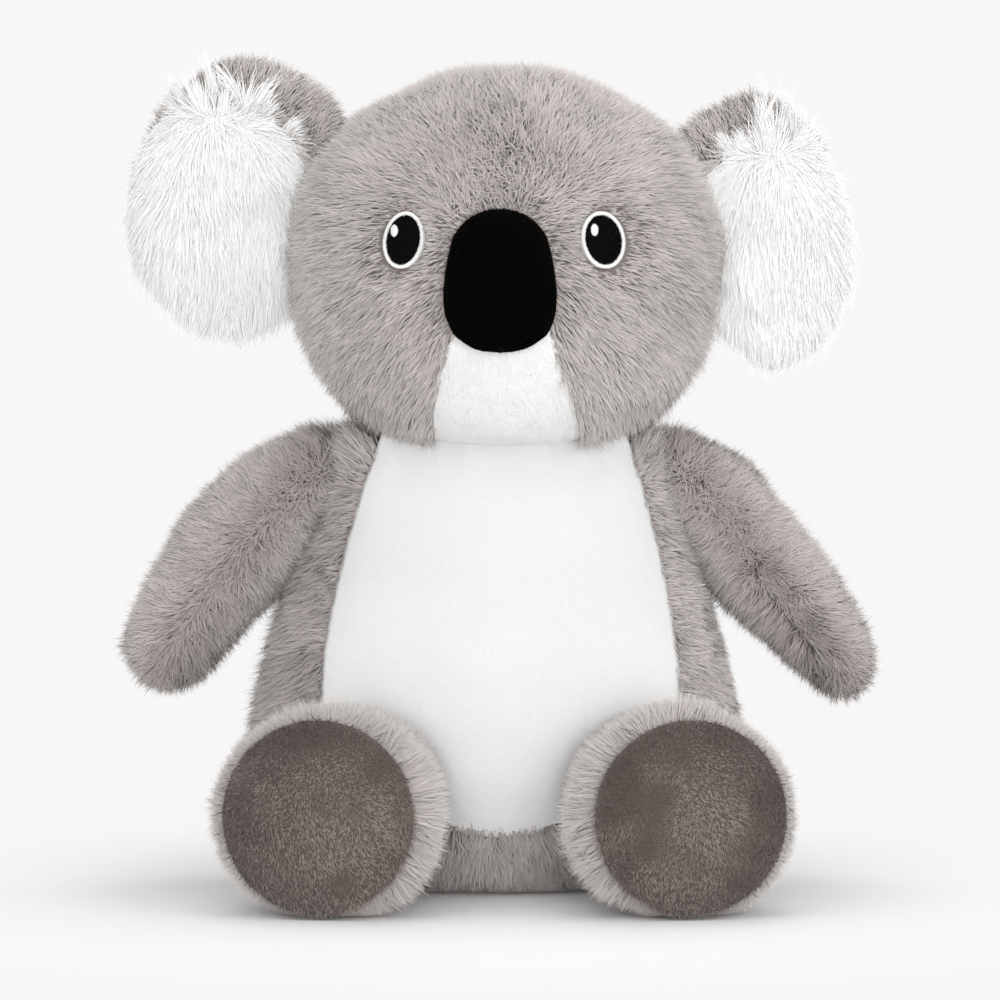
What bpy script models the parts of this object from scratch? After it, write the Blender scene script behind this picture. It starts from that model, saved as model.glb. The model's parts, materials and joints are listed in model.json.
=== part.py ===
# Sitting plush koala, about 400 mm tall, as an assembly of its sewn and stuffed pieces.
# Metres, +Z up, standing on Z = 0. It faces -Y, and its left side is at +X.
import math

import bmesh
import bpy
from mathutils import Matrix, Vector

# Units and clearances
MM = 0.001
GAP = 0.3 * MM  # between any two pieces
OVERRUN = 8.0 * MM  # how far a cutter runs past what it cuts
FLOOR_CUT = 0.5 * MM  # how deep the soft forms are cut flat where they stand
WELD = 0.03 * MM  # corners nearer to each other than this become one
POLE_SHARE = 0.001  # how near a form's end its points count as the end

# Cloth
PILE = 6.5 * MM  # plush with its backing, from the mean fur surface inwards
PANEL_CLOTH = 1.5 * MM
MUZZLE_DIP = 1.5 * MM  # short white pile, lower than the fur round it
EYE_TOP = 1.0 * MM  # thread below the fur surface
EYE_FLOOR = 4.0 * MM
NOSE_SEAT = 4.0 * MM  # depth of the nose's seat in the plush
NOSE_CLOTH = 1.6 * MM
EAR_CLOTH = 4.0 * MM

# Segments round each form
BODY_SIDES = 24
HEAD_SIDES = 24
ARM_SIDES = 16
LEG_SIDES = 18
EAR_SIDES = 14
NOSE_SIDES = 16
DISC_SIDES = 20
BALL_RINGS = 10

# Body
BODY_WIDTH = 244.0 * MM
BODY_FRONT = 78.0 * MM  # belly, in front of the middle
BODY_BACK = 87.0 * MM
BODY_HEIGHT = 232.0 * MM
# height, half width, front and back of each ring, from the seat up
BODY_SHARES = (
    (0.0, 0.0, 0.0, 0.0),
    (0.0, 0.62, 0.64, 0.66),
    (0.037, 0.81, 0.80, 0.83),
    (0.11, 0.945, 0.92, 0.95),
    (0.217, 1.0, 0.985, 1.0),
    (0.338, 0.985, 1.0, 0.985),
    (0.476, 0.925, 0.965, 0.93),
    (0.613, 0.85, 0.90, 0.85),
    (0.742, 0.77, 0.82, 0.77),
    (0.854, 0.695, 0.74, 0.69),
    (0.931, 0.635, 0.67, 0.62),
    (0.974, 0.56, 0.58, 0.53),
    (0.996, 0.37, 0.38, 0.34),
    (1.0, 0.0, 0.0, 0.0),
)

# Belly panel: half widths up its height, above a half ellipse
PANEL_TOP = 226.0 * MM
PANEL_MIDDLE = 96.0 * MM  # where it is widest
PANEL_BOTTOM = 31.0 * MM
PANEL_HALF = 83.0 * MM
PANEL_TOP_HALF_SHARE = 0.66
PANEL_CURVE = 1.6  # how late its sides draw in
PANEL_ARCS = 13  # edges round the bottom, an odd count so that none meets the body's middle edge
PANEL_RISES = 6  # edges up each side

# Weight bag in the seat
BAG_TOP = 32.0 * MM

# Zip in the underside
ZIP_LENGTH = 96.0 * MM
ZIP_SLOT = 9.0 * MM  # width that shows
ZIP_TAPE = 22.0 * MM  # width
ZIP_TAPE_THICK = 1.0 * MM
ZIP_TEETH = 4.6 * MM  # width
ZIP_TEETH_THICK = 1.8 * MM
ZIP_BEHIND = 26.0 * MM  # it runs from side to side this far behind the body's middle
SLIDER_LENGTH = 9.0 * MM
SLIDER_WALL = 0.8 * MM
PULL_LENGTH = 11.0 * MM
PULL_WIDTH = 4.0 * MM

# Head
HEAD_WIDTH = 209.0 * MM
HEAD_FRONT = 96.0 * MM
HEAD_BACK = 90.0 * MM
HEAD_BASE = 205.0 * MM  # lowest point of the chin
HEAD_HEIGHT = 193.0 * MM
HEAD_SIDE = 2.5 * MM  # the head sits a little to its left
NECK_ROUND = 75.0 * MM  # radius of the round underside that turns in the shoulders
NECK_LIFT = 23.0 * MM  # height of that round underside
NECK_HOLE = 34.0 * MM  # radius
# the underside's rings: height and radius
UNDERSIDE_SHARES = (
    (0.0, 0.0),
    (0.03, 0.30),
    (0.11, 0.53),
    (0.33, 0.76),
    (0.65, 0.90),
    (1.0, 1.0),
)
# height over the underside, half width, front and back of each ring above it
HEAD_SHARES = (
    (0.12, 0.835, 0.915, 0.90),
    (0.25, 0.935, 0.975, 0.96),
    (0.375, 0.99, 1.0, 1.0),
    (0.50, 1.0, 0.995, 1.0),
    (0.62, 0.965, 0.955, 0.965),
    (0.735, 0.885, 0.875, 0.89),
    (0.835, 0.765, 0.755, 0.77),
    (0.915, 0.60, 0.59, 0.60),
    (0.975, 0.35, 0.34, 0.35),
    (1.0, 0.0, 0.0, 0.0),
)

# Muzzle patch, seen from the front: half widths at its top, middle and bottom
MUZZLE_SIDE = 4.5 * MM
MUZZLE_TOP = 268.0 * MM
MUZZLE_BOTTOM = 209.5 * MM
MUZZLE_TOP_HALF = 21.0 * MM
MUZZLE_BOTTOM_HALF = 35.5 * MM

# Nose
NOSE_SIDE = 0.0 * MM
NOSE_HALF = 26.3 * MM
NOSE_BASE = 252.3 * MM
NOSE_HEIGHT = 66.5 * MM
NOSE_PROUD = 21.0 * MM  # in front of the face
# height, half width and depth of each ring
NOSE_SHARES = (
    (0.0, 0.0, 0.0),
    (0.02, 0.38, 0.45),
    (0.10, 0.80, 0.78),
    (0.23, 0.97, 0.93),
    (0.40, 1.0, 1.0),
    (0.58, 0.96, 1.0),
    (0.75, 0.86, 0.91),
    (0.89, 0.62, 0.66),
    (0.975, 0.30, 0.34),
    (1.0, 0.0, 0.0),
)

# Eyes, embroidered ovals that lean in at the top
EYE_HALF_WIDTH = 10.1 * MM
EYE_HALF_HEIGHT = 13.3 * MM
EYE_RING = 1.8 * MM  # width of the white edge
GLINT_HALF_WIDTH = 2.0 * MM
GLINT_HALF_HEIGHT = 2.9 * MM
GLINT_LEFT = 4.2 * MM  # to the viewer's left of the pupil's middle
GLINT_UP = 4.0 * MM
EYE_LEAN = math.radians(9)
EYE_HEIGHT = 306.0 * MM
EYE_OUT = {"right": 44.9 * MM, "left": 48.0 * MM}  # from the middle of the body

# Ears
EAR_ROOT = 8.0 * MM  # radius of the bead along the seam
EAR_STAND = 5.0 * MM  # the seam's axis stands this far outside the head
EAR_SEAM_HALF = 50.0 * MM
EAR_BULGE = 12.0 * MM
EAR_ROUND = math.radians(133)  # how much of a full oval its edge goes round, from seam to tip
EAR_SPLIT = 4.0 * MM  # the grey back wraps this far past the middle
EAR_RINGS = 12
EARS = {
    "right": {
        "reach": 84.0 * MM,
        "height": 330.0 * MM,
        "tilt": math.radians(16),
        "turn": math.radians(12),
    },
    "left": {
        "reach": 70.5 * MM,
        "height": 317.0 * MM,
        "tilt": math.radians(12),
        "turn": math.radians(26),
    },
}

# Arms: along their middle line from the shoulder ball
ARM_HALF_DEPTH = 27.0 * MM
SHOULDER_HEIGHT = 198.0 * MM
SHOULDER_OUT = 6.5 * MM  # the shoulder ball's middle from the body's side plane
SIDE_DIP = 1.5 * MM  # how deep that plane lies in the body's side, at the shoulder
SIDE_LEAN = math.radians(18.5)  # of that plane, from upright
ARMS = {
    "right": {
        "length": 109.0 * MM,
        "radius": 28.5 * MM,
        "lean": math.radians(38.5),
        "shares": (1.0, 0.96, 0.93, 0.94, 0.98, 0.97),
        "tip": 0.92,
    },
    "left": {
        "length": 118.0 * MM,
        "radius": 28.5 * MM,
        "lean": math.radians(38),
        "shares": (1.0, 0.96, 0.93, 0.93, 0.91, 0.80),
        "tip": 0.95,
    },
}
ARM_CAP_RINGS = 4

# Legs: a ball at the hip, then a tube to the sole
HIP_RADIUS = 46.0 * MM
HIP_RINGS = 5
HIP_FORWARD = 90.0 * MM  # in front of the body's middle
HIP_OUT = {"right": 71.0 * MM, "left": 75.0 * MM}
LEG_LENGTH = 65.0 * MM  # from the hip to the sole
LEG_SPLAY = math.radians(9)
FOOT_HALF_WIDTH = 50.5 * MM
SOLE_RADIUS = 43.5 * MM
SOLE_CLOTH = 4.0 * MM
SOLE_DIP = 1.5 * MM  # behind the front of the fur
SOLE_DOME = 2.0 * MM
SOLE_STEP_SHARES = (0.1, 0.175, 0.3)  # width of the dome's steps, from the edge inwards
# length, half width towards the foot's, and radius, from the hip forwards
LEG_SHARES = (
    (0.30, 0.15, 1.0),
    (0.62, 0.70, 1.0),
    (0.84, 1.0, 1.0),
    (0.96, 0.75, 0.965),
    (1.0, 0.25, 0.90),
)

COLLECTION = "plush_koala"
SIDES = {"right": -1, "left": 1}  # the toy's own right is at -X

# colour, roughness
FINISHES = {
    "grey_plush": ((0.39, 0.35, 0.33), 0.95),
    "white_cloth": ((0.87, 0.87, 0.87), 0.85),
    "white_pile": ((0.86, 0.86, 0.86), 0.95),
    "black_velour": ((0.006, 0.006, 0.006), 0.9),
    "brown_velour": ((0.17, 0.14, 0.13), 0.8),
    "white_thread": ((0.88, 0.88, 0.88), 0.6),
    "black_thread": ((0.008, 0.008, 0.009), 0.55),
    "stuffing": ((0.80, 0.80, 0.79), 1.0),
    "bean_bag": ((0.72, 0.71, 0.68), 0.9),
    "zip_tape": ((0.36, 0.33, 0.31), 0.85),
    "zip_nylon": ((0.55, 0.53, 0.51), 0.4),
    "zip_metal": ((0.60, 0.60, 0.62), 0.3),
}


def clear_scene():
    for ob in list(bpy.data.objects):
        bpy.data.objects.remove(ob)


def new_collection(name):
    made = bpy.data.collections.new(name)
    bpy.context.scene.collection.children.link(made)
    return made


def finish_of(name):
    made = bpy.data.materials.new(name)
    made.use_nodes = True
    colour, roughness = FINISHES[name]
    shader = made.node_tree.nodes["Principled BSDF"]
    shader.inputs["Base Color"].default_value = (*colour, 1.0)
    shader.inputs["Roughness"].default_value = roughness
    shader.inputs["Metallic"].default_value = 1.0 if name == "zip_metal" else 0.0
    made.diffuse_color = (*colour, 1.0)
    return made


def object_from(bm, name, collection):
    mesh = bpy.data.meshes.new(name)
    bmesh.ops.recalc_face_normals(bm, faces=bm.faces)
    bm.to_mesh(mesh)
    bm.free()
    mesh.shade_smooth()
    made = bpy.data.objects.new(name, mesh)
    collection.objects.link(made)
    return made


def as_cutter(bm, name):
    made = object_from(bm, name, cutters)
    made.hide_render = True
    made.display_type = "WIRE"
    return made


def as_piece(bm, name, finish, parent):
    made = object_from(bm, name, pieces)
    made.data.materials.append(finish_of(finish))
    made.parent = parent
    made.matrix_parent_inverse = parent.matrix_world.inverted()
    return made


def combine(target, other, operation):
    made = target.modifiers.new(f"{operation.lower()} {other.name}", "BOOLEAN")
    made.operation = operation
    made.object = other
    made.solver = "EXACT"


def cut(target, *others):
    for other in others:
        combine(target, other, "DIFFERENCE")


def keep_in(target, other):
    combine(target, other, "INTERSECT")


def join(target, other):
    combine(target, other, "UNION")


def split_alike(bm):
    """Cuts every quad along the same diagonal, so that a form and the space inside it never cross."""
    bmesh.ops.triangulate(bm, faces=bm.faces, quad_method="FIXED")


def ring_form(rings, sides, place, grow=0.0):
    """A closed soft form. Each ring is (along, half width, front, back), the first and last are its ends."""
    bm = bmesh.new()
    count = len(rings) - 1
    bmesh.ops.create_uvsphere(bm, u_segments=sides, v_segments=count, radius=1.0)
    for v in bm.verts:
        ring = rings[count - round(math.acos(max(-1.0, min(1.0, v.co.z))) / math.pi * count)]
        around = math.atan2(v.co.y, v.co.x)
        across = math.cos(around) * ring[1]
        deep = math.sin(around) * (ring[2] if math.sin(around) < 0 else ring[3])
        v.co = Vector((across, deep, ring[0]))
    if grow:
        bmesh.ops.recalc_face_normals(bm, faces=bm.faces)
        bm.normal_update()
        for v in bm.verts:
            v.co += v.normal * grow
            v.co.z = min(max(v.co.z, rings[0][0] - grow), rings[-1][0] + grow)
    split_alike(bm)
    bmesh.ops.transform(bm, matrix=place, verts=bm.verts)
    return bm


def ball(radius, centre):
    bm = bmesh.new()
    bmesh.ops.create_uvsphere(bm, u_segments=2 * BALL_RINGS, v_segments=BALL_RINGS, radius=radius)
    bmesh.ops.transform(bm, matrix=Matrix.Translation(centre), verts=bm.verts)
    return bm


def ball_over(radius):
    """The radius of a faceted ball that a round one of this radius turns in."""
    return radius / math.cos(math.pi / (2 * BALL_RINGS)) ** 2


def block(size, centre, turn=None):
    bm = bmesh.new()
    bmesh.ops.create_cube(bm, size=1.0)
    bmesh.ops.scale(bm, vec=Vector(size), verts=bm.verts)
    if turn:
        bmesh.ops.transform(bm, matrix=turn, verts=bm.verts)
    bmesh.ops.translate(bm, vec=Vector(centre), verts=bm.verts)
    return bm


def drum(radius, depth, place, sides=DISC_SIDES):
    bm = bmesh.new()
    bmesh.ops.create_cone(
        bm, cap_ends=True, segments=sides, radius1=radius, radius2=radius, depth=depth
    )
    bmesh.ops.transform(bm, matrix=place, verts=bm.verts)
    return bm


def prism(outline, start=0.0):
    """An outline of (x, z) points seen from the front, run forwards from start in front of the middle."""
    curve = bpy.data.curves.new("outline", "CURVE")
    curve.dimensions = "2D"
    curve.fill_mode = "BOTH"
    curve.extrude = (HEAD_FRONT + NOSE_PROUD) / 2
    spline = curve.splines.new("POLY")
    spline.points.add(len(outline) - 1)
    for point, (x, z) in zip(spline.points, outline):
        point.co = (x, z, 0.0, 1.0)
    spline.use_cyclic_u = True
    drawn = bpy.data.objects.new("outline", curve)
    cutters.objects.link(drawn)
    bpy.context.view_layer.update()
    mesh = bpy.data.meshes.new_from_object(drawn.evaluated_get(bpy.context.evaluated_depsgraph_get()))
    bpy.data.objects.remove(drawn)
    bm = bmesh.new()
    bm.from_mesh(mesh)
    bpy.data.meshes.remove(mesh)
    bmesh.ops.remove_doubles(bm, verts=bm.verts, dist=WELD)
    upright = Matrix.Translation((0, -start - curve.extrude, 0)) @ Matrix.Rotation(math.pi / 2, 4, "X")
    bmesh.ops.transform(bm, matrix=upright, verts=bm.verts)
    return bm


def body_rings():
    low = -FLOOR_CUT
    return [
        (low + h * (BODY_HEIGHT - low), w * BODY_WIDTH / 2, f * BODY_FRONT, b * BODY_BACK)
        for h, w, f, b in BODY_SHARES
    ]


def underside_rings(grow=0.0):
    return [
        (h * NECK_LIFT - grow, (r * NECK_ROUND + grow if r else 0.0),) for h, r in UNDERSIDE_SHARES
    ]


def head_rings():
    low = [(h, r, r, r) for h, r in underside_rings()]
    rise = HEAD_HEIGHT - NECK_LIFT
    high = [
        (NECK_LIFT + h * rise, w * HEAD_WIDTH / 2, f * HEAD_FRONT, b * HEAD_BACK)
        for h, w, f, b in HEAD_SHARES
    ]
    return low + high


def side_at(rings, height):
    """Half width of a form at a height."""
    for below, above in zip(rings, rings[1:]):
        if below[0] <= height <= above[0] and above[0] > below[0]:
            share = (height - below[0]) / (above[0] - below[0])
            return below[1] + share * (above[1] - below[1])
    return 0.0


def front_at(rings, height, side=0.0):
    """How far in front of the middle a form's surface lies at a height and a side."""
    for below, above in zip(rings, rings[1:]):
        if below[0] <= height <= above[0] and above[0] > below[0]:
            share = (height - below[0]) / (above[0] - below[0])
            front = below[2] + share * (above[2] - below[2])
            half = below[1] + share * (above[1] - below[1])
            return front * math.sqrt(max(0.0, 1 - (side / half) ** 2))
    return 0.0


HEAD_PLACE = Matrix.Translation((HEAD_SIDE, 0, HEAD_BASE))


def body_form(grow=0.0):
    return ring_form(body_rings(), BODY_SIDES, Matrix.Identity(4), grow)


def head_form(grow=0.0):
    return ring_form(head_rings(), HEAD_SIDES, HEAD_PLACE, grow)


def neck_dish(grow):
    """The round hollow that the head's underside turns in, open above."""
    wide = 1 / math.cos(math.pi / HEAD_SIDES)
    rings = [(h, r * wide, r * wide, r * wide) for h, r in underside_rings(grow)]
    top = NECK_ROUND * wide + grow + (BODY_HEIGHT - HEAD_BASE)
    rings.append((NECK_LIFT + OVERRUN, top, top, top))
    rings.append((NECK_LIFT + 2 * OVERRUN, top, top, top))
    rings.append((NECK_LIFT + 2 * OVERRUN, 0.0, 0.0, 0.0))
    return ring_form(rings, HEAD_SIDES, HEAD_PLACE)


def side_plane(side):
    """A point on the plane that an arm swings along, and its outward direction."""
    out = side_at(body_rings(), SHOULDER_HEIGHT) - SIDE_DIP
    normal = Vector((SIDES[side] * math.cos(SIDE_LEAN), 0, math.sin(SIDE_LEAN)))
    return Vector((SIDES[side] * out, 0, SHOULDER_HEIGHT)), normal


def plane_block(point, normal, beyond):
    """A block that fills the space past a plane."""
    size = BODY_HEIGHT * 2
    turn = normal.to_track_quat("Z", "Y").to_matrix().to_4x4()
    return block((size, size, size), point + normal * (beyond + size / 2), turn)


def arm_frame(side):
    """Where an arm's form sits, from its shoulder ball along its middle line."""
    point, normal = side_plane(side)
    lean = ARMS[side]["lean"]
    along = Vector((SIDES[side] * math.sin(lean), 0, -math.cos(lean)))
    across = Vector((0, 1, 0)).cross(along)
    turn = Matrix((across, Vector((0, 1, 0)), along)).transposed().to_4x4()
    return Matrix.Translation(point + normal * SHOULDER_OUT) @ turn


def arm_rings(side):
    arm = ARMS[side]
    radius, length = arm["radius"], arm["length"]
    deep = ARM_HALF_DEPTH / radius
    steps = [math.pi / 2 * k / ARM_CAP_RINGS for k in range(ARM_CAP_RINGS)]
    rings = [(-radius * math.cos(a), radius * math.sin(a)) for a in steps]
    shares = arm["shares"]
    for k, share in enumerate(shares):
        rings.append((length * k / (len(shares) - 1), radius * share))
    end = radius * shares[-1]
    for a in steps[1:]:
        rings.append((length + end * arm["tip"] * math.sin(a), end * math.cos(a)))
    rings.append((length + end * arm["tip"], 0.0))
    return [(s, r, r * deep, r * deep) for s, r in rings]


def hip_point(side):
    return Vector((SIDES[side] * HIP_OUT[side], -HIP_FORWARD, HIP_RADIUS - FLOOR_CUT))


def leg_frame(side):
    """Along the leg is forwards, splayed outwards."""
    splay = Matrix.Rotation(SIDES[side] * LEG_SPLAY, 4, "Z")
    return Matrix.Translation(hip_point(side)) @ splay @ Matrix.Rotation(math.pi / 2, 4, "X")


def leg_rings():
    steps = [math.pi / 2 * k / HIP_RINGS for k in range(HIP_RINGS + 1)]
    rings = [(-HIP_RADIUS * math.cos(a), HIP_RADIUS * math.sin(a), HIP_RADIUS * math.sin(a)) for a in steps]
    wider = FOOT_HALF_WIDTH - HIP_RADIUS
    for share, spread, radius in LEG_SHARES:
        tall = HIP_RADIUS * radius
        rings.append((LEG_LENGTH * share, tall + wider * spread, tall))
    rings.append((LEG_LENGTH, 0.0, 0.0))
    return [(s, w, t, t) for s, w, t in rings]


def ear_frame(side):
    """Origin on the seam's axis, X outwards from the head, Y to the back, Z along the seam."""
    ear = EARS[side]
    reach = side_at(head_rings(), ear["height"] - HEAD_BASE) + EAR_STAND
    where = Vector((HEAD_SIDE + SIDES[side] * reach, 0, ear["height"]))
    lean = Matrix.Rotation(-SIDES[side] * ear["tilt"], 4, "Y")
    swing = Matrix.Rotation(SIDES[side] * ear["turn"], 4, "Z")
    flip = Matrix.Diagonal((SIDES[side], 1, 1, 1))
    return Matrix.Translation(where) @ lean @ swing @ flip


def ear_form(side, within=0.0):
    """A round, full ear on a bead that is turned about the seam's axis, or the space this far inside it."""
    reach = EARS[side]["reach"] - within
    root = EAR_ROOT - within
    half = EAR_SEAM_HALF - within
    bm = bmesh.new()
    bmesh.ops.create_uvsphere(bm, u_segments=EAR_SIDES, v_segments=EAR_RINGS, radius=1.0)
    for v in bm.verts:
        ends = math.hypot(v.co.x, v.co.y)
        out, deep = (v.co.x / ends, v.co.y / ends) if ends > POLE_SHARE else (0.0, 0.0)
        ahead = max(0.0, out)
        # the edge is part of an oval, from the seam's end round to the tip
        turned = EAR_ROUND * (1 - 2 * math.atan2(ends, abs(v.co.z)) / math.pi)
        edge_out = reach * (math.cos(turned) - math.cos(EAR_ROUND)) / (1 - math.cos(EAR_ROUND))
        edge_up = math.copysign(half * math.sin(turned) / math.sin(EAR_ROUND), v.co.z)
        s = out * (edge_out if out > 0 else ends * root)
        t = ends * deep * (root + 2 * EAR_BULGE * ahead * edge_out / reach)
        full = math.sin(ahead * math.pi / 2)
        v.co = Vector((s, t, half * v.co.z * (1 - full) + edge_up * full))
    split_alike(bm)
    bmesh.ops.transform(bm, matrix=ear_frame(side), verts=bm.verts)
    return bm


def ear_groove(side):
    """The hollow that the ear's bead folds in."""
    wide = 1 / math.cos(math.pi / EAR_SIDES)
    count = EAR_RINGS
    rings = []
    for k in range(count + 1):
        a = math.pi * k / count
        radius = (EAR_ROOT * math.sin(a) + GAP) * wide if 0 < k < count else 0.0
        rings.append((-(EAR_SEAM_HALF + GAP) * math.cos(a), radius, radius, radius))
    return ring_form(rings, EAR_SIDES, ear_frame(side))


def oval(half_width, half_height, centre, lean, count=DISC_SIDES):
    points = []
    for k in range(count):
        a = 2 * math.pi * k / count
        x, z = half_width * math.cos(a), half_height * math.sin(a)
        points.append(
            (
                centre[0] + x * math.cos(lean) - z * math.sin(lean),
                centre[1] + x * math.sin(lean) + z * math.cos(lean),
            )
        )
    return points


def panel_outline(grow=0.0):
    points = []
    half = PANEL_HALF + grow
    drop = PANEL_MIDDLE - PANEL_BOTTOM + grow
    for k in range(PANEL_ARCS + 1):
        a = math.pi * k / PANEL_ARCS
        points.append((-half * math.cos(a), PANEL_MIDDLE - drop * math.sin(a)))
    rise = PANEL_TOP + grow - PANEL_MIDDLE
    narrow = PANEL_HALF * (1 - PANEL_TOP_HALF_SHARE)
    sides = []
    for k in range(1, PANEL_RISES + 1):
        share = k / PANEL_RISES
        sides.append((half - narrow * share**PANEL_CURVE, PANEL_MIDDLE + rise * share))
    return points + sides + [(-x, z) for x, z in reversed(sides)]


def muzzle_outline(grow=0.0):
    top, bottom = MUZZLE_TOP + grow, MUZZLE_BOTTOM - grow
    high, low = MUZZLE_TOP_HALF + grow, MUZZLE_BOTTOM_HALF + grow
    middle = (high + 2 * low) / 3
    shape = (
        (-low, bottom),
        (low, bottom),
        (middle, (top + bottom) / 2),
        (high, top),
        (-high, top),
        (-middle, (top + bottom) / 2),
    )
    return [(MUZZLE_SIDE + x, z) for x, z in shape]


def nose_form(grow=0.0):
    face = front_at(head_rings(), NOSE_BASE + NOSE_HEIGHT / 2 - HEAD_BASE)
    rings = []
    for h, w, d in NOSE_SHARES:
        deep = d * (NOSE_PROUD + PILE)
        rings.append((h * NOSE_HEIGHT, w * NOSE_HALF, deep, deep))
    return ring_form(
        rings, NOSE_SIDES, Matrix.Translation((NOSE_SIDE, PILE - face, NOSE_BASE)), grow
    )


def floor_block():
    size = BODY_WIDTH * 2
    return block((size, size, size), (0, 0, -size / 2))


def carrier(name, place):
    """An empty on a joint's axis, which carries the pieces that move with it."""
    made = bpy.data.objects.new(name, None)
    made.empty_display_size = HIP_RADIUS
    made.matrix_world = place
    pieces.objects.link(made)
    return made


def build_body(root):
    floor = as_cutter(floor_block(), "cut_floor")
    side_cuts = [as_cutter(plane_block(*side_plane(s), 0.0), f"cut_side_{s}") for s in SIDES]
    hips = [as_cutter(ball(ball_over(HIP_RADIUS + GAP), hip_point(s)), f"cut_hip_{s}") for s in SIDES]
    dish = as_cutter(neck_dish(GAP), "cut_neck_dish")
    neck_place = Matrix.Translation((HEAD_SIDE, 0, HEAD_BASE))
    neck_hole = as_cutter(drum(NECK_HOLE, 4 * PILE + 2 * OVERRUN, neck_place), "cut_neck_hole")

    # the hollow inside the plush, drawn in round the neck and the hips
    hollow = as_cutter(body_form(-PILE), "hollow_body")
    deep_dish = as_cutter(neck_dish(GAP + PILE), "cut_neck_deep")
    deep_hips = [
        as_cutter(ball(ball_over(HIP_RADIUS + GAP + PILE), hip_point(s)), f"cut_hip_deep_{s}")
        for s in SIDES
    ]
    cut(hollow, deep_dish, *deep_hips)

    skin = as_piece(body_form(), "body_skin", "grey_plush", root)
    panel_window = as_cutter(prism(panel_outline(GAP)), "cut_panel")
    panel_inner = as_cutter(body_form(-PILE), "panel_inner")
    cut(panel_window, as_cutter(body_form(-(PILE + GAP)), "panel_window_floor"))
    cut(skin, hollow, floor, dish, *hips, *side_cuts, neck_hole, panel_window)

    panel = as_piece(prism(panel_outline()), "belly_panel", "white_cloth", root)
    panel_outer = as_cutter(body_form(-(PILE - PANEL_CLOTH)), "panel_outer")
    keep_in(panel, panel_outer)
    cut(panel, panel_inner, dish, *hips)

    # stuffing over the weight bag
    full = PILE + GAP
    stuffing = as_piece(body_form(-full), "body_stuffing", "stuffing", root)
    pod_dish = as_cutter(neck_dish(GAP + full), "cut_pod_dish")
    pod_hips = [
        as_cutter(ball(ball_over(HIP_RADIUS + GAP + full), hip_point(s)), f"cut_pod_hip_{s}")
        for s in SIDES
    ]
    size = BODY_WIDTH * 2
    below = as_cutter(block((size, size, size), (0, 0, BAG_TOP + GAP - size / 2)), "cut_below_stuffing")
    cut(stuffing, pod_dish, *pod_hips, below)
    plug = as_cutter(drum(NECK_HOLE - GAP, 3 * PILE, neck_place), "neck_plug_body")
    cut(plug, dish)
    join(stuffing, plug)

    bag = as_piece(body_form(-full), "bean_bag", "bean_bag", root)
    above = as_cutter(block((size, size, size), (0, 0, BAG_TOP + size / 2)), "cut_above_bag")
    cut(bag, above, *pod_hips)
    build_zip(root, skin)


def zip_block(along, across, tall, start, low):
    """A block in line with the zip, from its start along X and its lowest height."""
    return block((along, across, tall), (start + along / 2, ZIP_BEHIND, low + tall / 2))


def build_zip(root, skin):
    """A closed slot in the underside, with the zip recessed above the floor."""
    first = -ZIP_LENGTH / 2
    tape_low = PILE - FLOOR_CUT - ZIP_TAPE_THICK
    slot = zip_block(ZIP_LENGTH, ZIP_SLOT, 2 * OVERRUN, first, -OVERRUN)
    tape_first = first - ZIP_SLOT / 2
    tape_length = ZIP_LENGTH + ZIP_SLOT
    pocket_width = ZIP_TAPE + 2 * GAP
    pocket = zip_block(tape_length, pocket_width, OVERRUN, tape_first, tape_low - GAP)
    cut(skin, as_cutter(slot, "cut_zip_slot"), as_cutter(pocket, "cut_zip_pocket"))
    tape = zip_block(tape_length - 2 * GAP, ZIP_TAPE, ZIP_TAPE_THICK, tape_first + GAP, tape_low)
    as_piece(tape, "zip_tape", "zip_tape", root)
    teeth_top = tape_low - GAP
    teeth_low = teeth_top - ZIP_TEETH_THICK
    teeth = zip_block(ZIP_LENGTH - 2 * GAP, ZIP_TEETH, ZIP_TEETH_THICK, first + GAP, teeth_low)
    as_piece(teeth, "zip_teeth", "zip_nylon", root)

    # the slider runs on the teeth, from one end with its pull lying flat behind it
    start = first + GAP + PULL_LENGTH
    low = teeth_low - GAP - SLIDER_WALL
    tall = teeth_top - low
    runner = carrier("zip_runner", Matrix.Translation((start, ZIP_BEHIND, teeth_top)))
    wide = ZIP_TEETH + 2 * (GAP + SLIDER_WALL)
    slider = as_piece(
        zip_block(SLIDER_LENGTH, wide, tall, start, low), "zip_slider", "zip_metal", runner
    )
    channel_length = SLIDER_LENGTH + 2 * OVERRUN
    channel_low = low + SLIDER_WALL
    channel = zip_block(channel_length, ZIP_TEETH + 2 * GAP, tall, start - OVERRUN, channel_low)
    cut(slider, as_cutter(channel, "cut_slider_channel"))
    pull = zip_block(PULL_LENGTH + SLIDER_WALL, PULL_WIDTH, SLIDER_WALL, start - PULL_LENGTH, low)
    join(slider, as_cutter(pull, "zip_pull"))


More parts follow.
